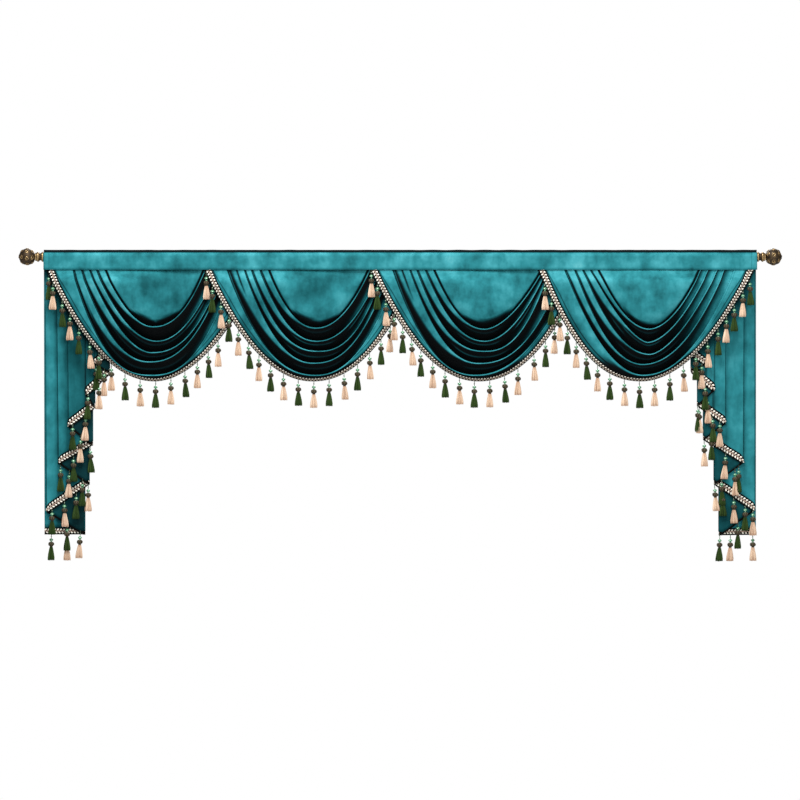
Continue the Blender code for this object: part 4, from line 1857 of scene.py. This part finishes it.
    def _covered(self, column: Column, drop: np.ndarray,
                 down: np.ndarray) -> np.ndarray:
        """Painted shadow close behind the edge of the next panel but one and below the swag,
        with a painted highlight along the panel's own edge.

        Args:
            column: panel, share, layer and turn.
            drop: drops below the seam.
            down: how far down the cloth each one is, from 0 to 1.

        Returns:
            The painted shade of each point.
        """
        panel, share = column[:2]
        inset = self.inset(panel, share, down)
        dark = np.zeros_like(drop)
        for front in range(panel + 2, len(self.pleats) - 1, 2):
            at = self.inset(front, 0.0, down)
            away = np.abs(at - inset)
            # painted shadow behind the edges of the panels in front
            near = (self.edge_shade * np.exp(-away / self.edge_reach)
                    + 0.10 * np.exp(-away / 0.020))
            dark = np.maximum(dark, near * (inset < at + 0.004))
        if panel % 2:
            dark = np.maximum(dark, self.underside_dark)
        else:
            own = self.inset(panel, 0.0, down)
            # painted highlight along the panel's own fold edge
            dark = dark - 0.16 * np.exp(-np.abs(inset - own) / 0.006)
        # painted shadow below the swag's foot
        beside = np.clip(np.abs(self.end - inset - self.swag_centre) / self.swag_half, 0.0, 1.0)
        below = drop - self.swag_drop * (1.0 - beside ** 2.03)
        hidden = np.exp(-np.clip(below, 0.0, None) / self.swag_reach)
        dark = np.maximum(dark, self.edge_shade * hidden)
        return dark + self.shade * smooth_step((inset - 0.02) / 0.08) * (1.0 - dark)

    def ribbon(self) -> Ribbon:
        """Where the braid runs along the hem.

        Returns:
            The ribbon, from left to right.
        """
        middles, widths, halves = [], [], []
        for column in self.columns():
            top, foot = self.column_edges(column)
            drops = np.array([top + self.braid_gap, foot])
            upper, lower = self.point(column, drops, np.ones(2))
            middles.append(0.5 * (upper + lower))
            widths.append(unit(lower - upper))
            halves.append(0.5 * np.linalg.norm(lower - upper))
        order = -1 if self.side > 0.0 else 1
        return Ribbon(np.array(middles)[::order], np.array(widths)[::order],
                      np.array(halves)[::order])

    def hung(self) -> list[Hung]:
        """The tassels below the braid.

        Returns:
            Their places.
        """
        places = []
        for panel, pleat in enumerate(self.pleats):
            for share, letter in zip(pleat.tassels, pleat.colours):
                drop = np.array([self.braid_edges(panel, share)[1] - self.tassel_root])
                root = self.point((panel, share, float(panel), 0.0), drop, np.ones(1))[0]
                places.append(Hung(tuple(root), pleat.stand_off, TasselColour(letter)))
        return places

    def build(self, finishes: Finishes) -> None:
        """Make the tail and its trim.

        Args:
            finishes: the valance's materials.
        """
        grid, nap = self.grid()
        cloth = sheet_piece(f"tail_{self.name}_cloth", grid, nap, finishes.smooth_velvet,
                            self.reverse(nap))
        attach(cloth, "root")
        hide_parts(f"tail_{self.name}")
        trim = Trim(f"tail_trim_{self.name}", finishes)
        pieces = trim.sew(self.ribbon(), self.hung())
        LOG.info("tail_%s: %d points", self.name, nap.size)


TAIL_LEFT = Tail("left", -1.0, (
    Pleat(-0.0015, 0.0010, 0.9170, 0.008, (0.17, 0.55), "GC"),
    Pleat(0.1440, 0.1440, 0.9170, 0.008, (0.12, 0.46), "CG"),
    Pleat(0.0045, 0.0080, 0.8380, 0.008, (0.14, 0.42, 0.70, 0.97), "GCGC"),
    Pleat(0.1580, 0.1600, 0.7400, 0.004, (0.22, 0.64, 0.93), "GCG"),
    Pleat(0.0440, 0.0510, 0.6680, 0.008, (0.44, 0.92), "GG"),
    Pleat(0.1700, 0.1730, 0.6030, 0.006, (0.50,), "C"),
    Pleat(0.0810, 0.0870, 0.5390, 0.008, (0.17, 0.66), "GC"),
    Pleat(0.1790, 0.1810, 0.4720, 0.000, (), ""),
    Pleat(0.1440, 0.1490, 0.4280, 0.008, (0.10, 0.55), "GC"),
    Pleat(0.2320, 0.2330, 0.3500, 0.004, (0.36,), "C"),
    Pleat(0.1760, 0.1790, 0.3240, 0.004, (0.10,), "G"),
    Pleat(0.2450, 0.2450, 0.2800, 0.000, (), ""),
), shade=0.32)
TAIL_RIGHT = Tail("right", 1.0, (
    Pleat(0.0010, 0.0015, 0.9185, 0.008, (0.09, 0.68), "CC"),
    Pleat(0.1330, 0.1330, 0.9200, 0.008, (0.03, 0.53), "GG"),
    Pleat(0.0065, 0.0050, 0.8330, 0.008, (0.06, 0.24, 0.52, 0.79, 0.98), "CGCGC"),
    Pleat(0.1500, 0.1510, 0.7400, 0.004, (0.26, 0.72, 0.85), "GCG"),
    Pleat(0.0440, 0.0470, 0.6660, 0.008, (0.44, 0.97), "CC"),
    Pleat(0.1860, 0.1890, 0.5840, 0.006, (0.38,), "G"),
    Pleat(0.1080, 0.1110, 0.5300, 0.008, (0.20, 0.46, 0.93), "CGC"),
    Pleat(0.2080, 0.2100, 0.4650, 0.004, (0.03, 0.60), "GC"),
    Pleat(0.1460, 0.1510, 0.4140, 0.008, (0.38,), "G"),
    Pleat(0.2320, 0.2330, 0.3440, 0.004, (), ""),
    Pleat(0.1760, 0.1790, 0.3240, 0.004, (0.22,), "C"),
    Pleat(0.2450, 0.2450, 0.2800, 0.000, (), ""),
))


# Heading and finials


@dataclass(frozen=True)
class Heading:
    """Rod pocket with a standing edge above it and a seam lip below."""

    half_length: float = 1.2475
    inner: float = 0.0143
    outer: float = 0.0159
    top: float = 0.0238
    bottom: float = -0.0427
    lip: float = 0.003
    edge: float = 0.0026
    arc_steps: int = 12
    station: float = 0.012
    hem: float = 0.019
    stitch_reach: float = 0.0012  # on each side of the stitches down an end's hem
    stitch_shade: float = 0.30
    stitch_depth: float = 0.0006
    pucker: float = 0.0009
    fine_pucker: float = 0.0005
    edge_rise: float = 0.0010
    flat_width: float = 2.53
    flat_length: float = 0.165

    def outline(self) -> tuple[np.ndarray, np.ndarray]:
        """The pocket's outside from the front lip over the top to the back, with its painted
        shade.

        Returns:
            Depth and height of each point, and its painted shade.
        """
        middle = 0.5 * (self.inner + self.outer)
        # third numbers: painted shade on the seam lip, over the top of the curve and on the
        # standing edge, and a darker stitch line above the lip
        points = [(-middle, self.bottom - self.lip, 0.30), (-middle - 0.0006, -0.0440, 0.05),
                  (-middle, -0.0400, 0.30), (-middle, -0.0385, 0.02)]
        points += [(-middle, height, 0.0) for height in (-0.030, -0.020, -0.010)]
        half = 0.5 * self.edge
        root = math.sqrt(middle * middle - half * half)
        for step in range(self.arc_steps + 1):
            angle = 0.5 * math.pi * step / self.arc_steps
            depth, height = -middle * math.cos(angle), middle * math.sin(angle)
            if depth < -half - 0.0008:
                points.append((depth, height, 0.0 if step < 9 else 0.35))
        points += [(-half, root + 0.0015, 0.9), (-half, self.top - 0.0012, 0.86),
                   (0.0, self.top, 0.80)]
        points += [(-depth, height, nap) for depth, height, nap in reversed(points[:-1])
                   if height > self.bottom]
        table = np.array(points)
        return table[:, :2], table[:, 2]

    def build(self, finishes: Finishes) -> None:
        """Make the heading as one folded sheet.

        Args:
            finishes: the valance's materials.
        """
        outline, nap = self.outline()
        stations = int(2.0 * self.half_length / self.station)
        along = np.linspace(-self.half_length, self.half_length, stations + 1)
        stitched = np.array([-self.half_length + self.hem, self.half_length - self.hem])
        along = np.sort(np.concatenate([along, stitched - self.stitch_reach, stitched,
                                        stitched + self.stitch_reach]))
        grid = np.zeros((len(outline), len(along), 3))
        values = np.zeros((len(outline), len(along)))
        for column, place in enumerate(along):
            pucker = (self.pucker * wobble(1.0, 9.0 * place)
                      + self.fine_pucker * wobble(2.0, 31.0 * place))
            at_stitch = np.min(np.abs(stitched - place)) < 0.0004
            for row, (depth, height) in enumerate(outline):
                slack = max(0.0, min(1.0, (0.004 - height) / 0.02)) if depth < 0.0 else 0.0
                rise = self.edge_rise * wobble(6.0, 22.0 * place) if height > 0.020 else 0.0
                groove = self.stitch_depth if at_stitch and depth < -0.01 else 0.0
                grid[row, column] = (place, depth - pucker * slack + groove, height + rise)
                # painted shade of the outline, and in the stitched groove down each end's hem
                values[row, column] = max(nap[row], self.stitch_shade if at_stitch else 0.0)
        cloth = sheet_piece("heading_cloth", grid[::-1], values[::-1], finishes.velvet)
        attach(cloth, "root")
        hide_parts("heading")
        LOG.info("heading: %d stations", len(along))


class Operators:
    """Blender's own tools, used as a modeller would use them by hand."""

    @staticmethod
    def pick(*pieces: Piece) -> None:
        """Leave edit mode and select these pieces alone; the first one is active.

        Args:
            pieces: the pieces, or none.
        """
        if bpy.context.object and bpy.context.object.mode != "OBJECT":
            bpy.ops.object.mode_set(mode="OBJECT")
        bpy.ops.object.select_all(action="DESELECT")
        for piece in pieces:
            piece.select_set(True)
        if pieces:
            bpy.context.view_layer.objects.active = pieces[0]

    @staticmethod
    def joined(pieces: Sequence[Piece], name: str) -> Piece:
        """Join pieces into the first one, and give it a name.

        Args:
            pieces: the pieces.
            name: the name.

        Returns:
            The joined piece.
        """
        Operators.pick(*pieces)
        bpy.ops.object.join()
        pieces[0].name = name
        return pieces[0]

    @staticmethod
    def settled(piece: Piece) -> None:
        """Move a piece's place, turn and scale into its mesh."""
        Operators.pick(piece)
        bpy.ops.object.transform_apply(location=True, rotation=True, scale=True)


@dataclass(frozen=True)
class Finial:
    """Turned neck and a ball covered in raised scrolls."""

    name: str
    side: float
    start: float = 1.2478
    collar: float = 0.0175
    waist: float = 0.0125
    collar_length: float = 0.0098
    waist_length: float = 0.0090
    neck_length: float = 0.0275
    ball: float = 0.0288
    relief: float = 0.0021
    skin: float = 0.0305
    scroll_turns: float = 1.35
    scroll_radius: float = 0.0078
    scroll_points: int = 30
    scroll_rows: tuple = ((0, 1, 0.0), (47, 5, 0.3), (90, 7, 0.0), (131, 5, 0.4))
    root: float = 0.82  # radius where the neck starts, as a share of the collar's
    neck_sides: int = 48
    ball_sides: int = 56
    sharp_from: float = math.radians(50.0)  # edges sharper than this stay sharp

    @property
    def centre(self) -> Vector:
        """The middle of the ball."""
        return Vector((self.side * (self.start + self.neck_length + self.skin), 0.0, 0.0))

    def neck(self) -> Piece:
        """Turn the neck: a disc drawn out along the rod step by step.

        Returns:
            The neck.
        """
        Operators.pick()
        radius = self.root * self.collar
        bpy.ops.mesh.primitive_circle_add(
            vertices=self.neck_sides, radius=radius, fill_type="NGON",
            location=(self.side * self.start, 0.0, 0.0), rotation=(0.0, 0.5 * math.pi, 0.0))
        neck = bpy.context.object
        bpy.ops.object.mode_set(mode="EDIT")
        bpy.ops.mesh.select_all(action="SELECT")
        for length, target in self._turning():
            bpy.ops.mesh.extrude_region_move(
                TRANSFORM_OT_translate={"value": (self.side * length, 0.0, 0.0)})
            ratio = target / radius
            bpy.ops.transform.resize(value=(1.0, ratio, ratio))
            radius = target
        bpy.ops.mesh.select_all(action="SELECT")
        bpy.ops.mesh.normals_make_consistent(inside=False)
        bpy.ops.object.mode_set(mode="OBJECT")
        return neck

    def _turning(self) -> list[tuple[float, float]]:
        """Steps of the neck's profile: length of each and the radius it reaches.

        Returns:
            The steps, from the rod outward.
        """
        step = self.collar_length / 8.0
        bead = [(0.5 * step, 0.94 * self.collar), (step, self.collar),
                (3.0 * step, self.collar), (step, 0.94 * self.collar),
                (0.4 * step, 0.86 * self.collar)]
        waist = self.waist_length / 5.0
        hollow = [(waist, 1.10 * self.waist), (waist, self.waist), (waist, self.waist),
                  (waist, 1.10 * self.waist), (waist, 0.90 * self.collar)]
        return bead + hollow + bead + [(5.0 * step, 0.80 * self.collar)]

    def ball_body(self) -> Piece:
        """The ball under the scrolls.

        Returns:
            The ball.
        """
        Operators.pick()
        bpy.ops.mesh.primitive_uv_sphere_add(
            segments=self.ball_sides, ring_count=self.ball_sides // 2, radius=self.ball,
            location=self.centre, rotation=(0.0, 0.5 * math.pi, 0.0))
        return bpy.context.object

    def scroll(self, hand: float) -> bpy.types.Curve:
        """One scroll wound on the ball's skin round its own pole, which points up.

        Args:
            hand: 1 for a scroll that winds to the right, -1 to the left.

        Returns:
            A bevelled curve.
        """
        curve = bpy.data.curves.new("scroll", "CURVE")
        curve.dimensions = "3D"
        curve.bevel_depth = self.relief * 0.78
        curve.bevel_resolution = 2
        curve.use_fill_caps = True
        line = curve.splines.new("POLY")
        line.points.add(self.scroll_points - 1)
        for number, point in enumerate(line.points):
            share = number / (self.scroll_points - 1)
            turn = hand * FULL_TURN * self.scroll_turns * share
            reach = self.scroll_radius * (0.10 + 0.90 * share ** 0.8)
            tilt = reach / self.ball
            point.co = (self.ball * math.sin(tilt) * math.cos(turn),
                        self.ball * math.sin(tilt) * math.sin(turn),
                        self.ball * math.cos(tilt), 1.0)
            point.radius = 0.55 + 0.55 * math.sin(math.pi * min(share * 1.05, 1.0))
        return curve

    def scrolls(self) -> list[Piece]:
        """Scrolls in three rows round the ball, and one on its end.

        Returns:
            The scrolls.
        """
        made = []
        for angle, count, offset in self.scroll_rows:
            for number in range(count):
                hand = 1.0 if number % 2 else -1.0
                shape = in_scene("scroll", self.scroll(hand))
                around = FULL_TURN * (number + offset) / count
                tilt = Matrix.Rotation(math.radians(angle), 4, "Y")
                turn = Matrix.Rotation(around, 4, "X")
                pole = Matrix.Rotation(self.side * 0.5 * math.pi, 4, "Y")
                shape.matrix_world = Matrix.Translation(self.centre) @ turn @ tilt @ pole
                Operators.pick(shape)
                bpy.ops.object.convert(target="MESH")
                made.append(shape)
        return made

    def build(self, finishes: Finishes) -> None:
        """Make the finial and its rubbed relief.

        Args:
            finishes: the valance's materials.
        """
        parts = [self.neck(), self.ball_body(), *self.scrolls()]
        piece = Operators.joined(parts, f"{self.name}_turned")
        Operators.settled(piece)
        mesh = piece.data
        mesh.materials.clear()
        mesh.materials.append(finishes.bronze)
        layer = mesh.attributes.new("relief", "FLOAT", "POINT")
        for vertex, value in zip(mesh.vertices, layer.data):
            if abs(vertex.co.x) - self.start > self.neck_length:
                raised = ((vertex.co - self.centre).length - self.ball) / (0.7 * self.relief)
                value.value = min(max(raised, 0.0), 1.0)
            else:
                radius = math.hypot(vertex.co.y, vertex.co.z)
                raised = (radius - self.waist) / (self.collar - self.waist)
                value.value = min(max(raised, 0.0), 1.0) * 0.75
        Operators.pick(piece)
        bpy.ops.object.shade_smooth_by_angle(angle=self.sharp_from)
        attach(piece, "root")
        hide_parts(self.name)
        LOG.info("%s: %d faces", piece.name, len(mesh.polygons))


# Studio


@dataclass(frozen=True)
class Studio:
    """Camera, lights, white surroundings and a pale floor."""

    distance: float = 12.0
    field: float = 2.8
    sensor: float = 36.0
    middle: tuple[float, float] = (-0.001, -0.5012)
    aim: Place = (0.0, 0.0, -0.45)
    ambient: float = 0.22  # strength of the even light
    floor_place: Place = (0.0, -2.5, -2.2)
    floor_size: Place = (16.0, 8.0, 1.0)

    def camera(self) -> None:
        """The camera, square to the valance."""
        data = bpy.data.cameras.new("camera")
        data.sensor_width = self.sensor
        data.lens = self.sensor * self.distance / self.field
        data.clip_end = 100.0
        camera = in_scene("camera", data)
        camera.location = (self.middle[0], -self.distance, self.middle[1])
        camera.rotation_euler = (0.5 * math.pi, 0.0, 0.0)
        bpy.context.scene.camera = camera

    def light(self, name: str, place: Place, size: float,
              power: float) -> None:
        """One soft square light that looks at the valance.

        Args:
            name: its name.
            place: where it stands.
            size: its side.
            power: its power in watts.
        """
        data = bpy.data.lights.new(name, "AREA")
        data.shape = "SQUARE"
        data.size = size
        data.energy = power
        light = in_scene(name, data)
        light.location = place
        aim = Vector(self.aim) - Vector(place)
        light.rotation_euler = aim.to_track_quat("-Z", "Y").to_euler()

    def world(self) -> None:
        """White to the camera, and a weak even light on everything else."""
        world = bpy.data.worlds.new("studio")
        world.use_nodes = True
        nodes, links = world.node_tree.nodes, world.node_tree.links
        background = nodes["Background"]
        background.inputs["Color"].default_value = (1.0, 1.0, 1.0, 1.0)
        path = nodes.new("ShaderNodeLightPath")
        strength = nodes.new("ShaderNodeMapRange")
        strength.inputs["To Min"].default_value = self.ambient
        strength.inputs["To Max"].default_value = 1.0
        links.new(path.outputs["Is Camera Ray"], strength.inputs["Value"])
        links.new(strength.outputs["Result"], background.inputs["Strength"])
        bpy.context.scene.world = world

    def floor(self) -> None:
        """A pale floor well below the valance."""
        Operators.pick()
        bpy.ops.mesh.primitive_plane_add(size=1.0, location=self.floor_place)
        floor = bpy.context.object
        floor.name = "floor"
        floor.scale = self.floor_size
        Operators.settled(floor)
        board = Board("pale_floor")
        grain = board.noise(3.0, 2.0)
        tones = ((0.0, (0.80, 0.80, 0.79)), (1.0, (0.84, 0.84, 0.83)))
        board.set(Base_Color=board.ramp(grain, tones), Roughness=0.8)
        floor.data.materials.append(board.material)
        floor.visible_diffuse = False
        floor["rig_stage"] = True

    def set_up(self) -> None:
        """Set everything up."""
        self.camera()
        self.world()
        self.floor()
        self.light("key", (-0.6, -3.4, 4.6), 3.0, 470.0)
        self.light("fill", (1.5, -7.0, 0.6), 4.0, 260.0)
        self.light("back", (0.5, 5.0, 3.0), 4.0, 380.0)
        bpy.context.scene.view_settings.view_transform = "Standard"


def report_triangles() -> None:
    """Log how many triangles the pieces made here have."""
    total = 0
    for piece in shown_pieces():
        if "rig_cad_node" not in piece:
            count = sum(len(polygon.vertices) - 2 for polygon in piece.data.polygons)
            LOG.info("%s: %d triangles", piece.name, count)
            total += count
    LOG.info("all new pieces: %d triangles", total)


def main() -> None:
    """Build the valance piece by piece."""
    logging.basicConfig(level=logging.INFO, format="%(message)s")
    Studio().set_up()
    finishes = Finishes()
    rod = frame["nodes"]["rod"]
    rod.data.materials.clear()
    rod.data.materials.append(finishes.bronze)
    LOG.info("rod: kept, with a bronze finish")
    Finial("finial_left", -1.0).build(finishes)
    Finial("finial_right", 1.0).build(finishes)
    Heading().build(finishes)
    for swag in SWAGS:
        swag.build(finishes)
    for tail in (TAIL_LEFT, TAIL_RIGHT):
        tail.build(finishes)
    report_triangles()


if __name__ == "__main__":
    main()
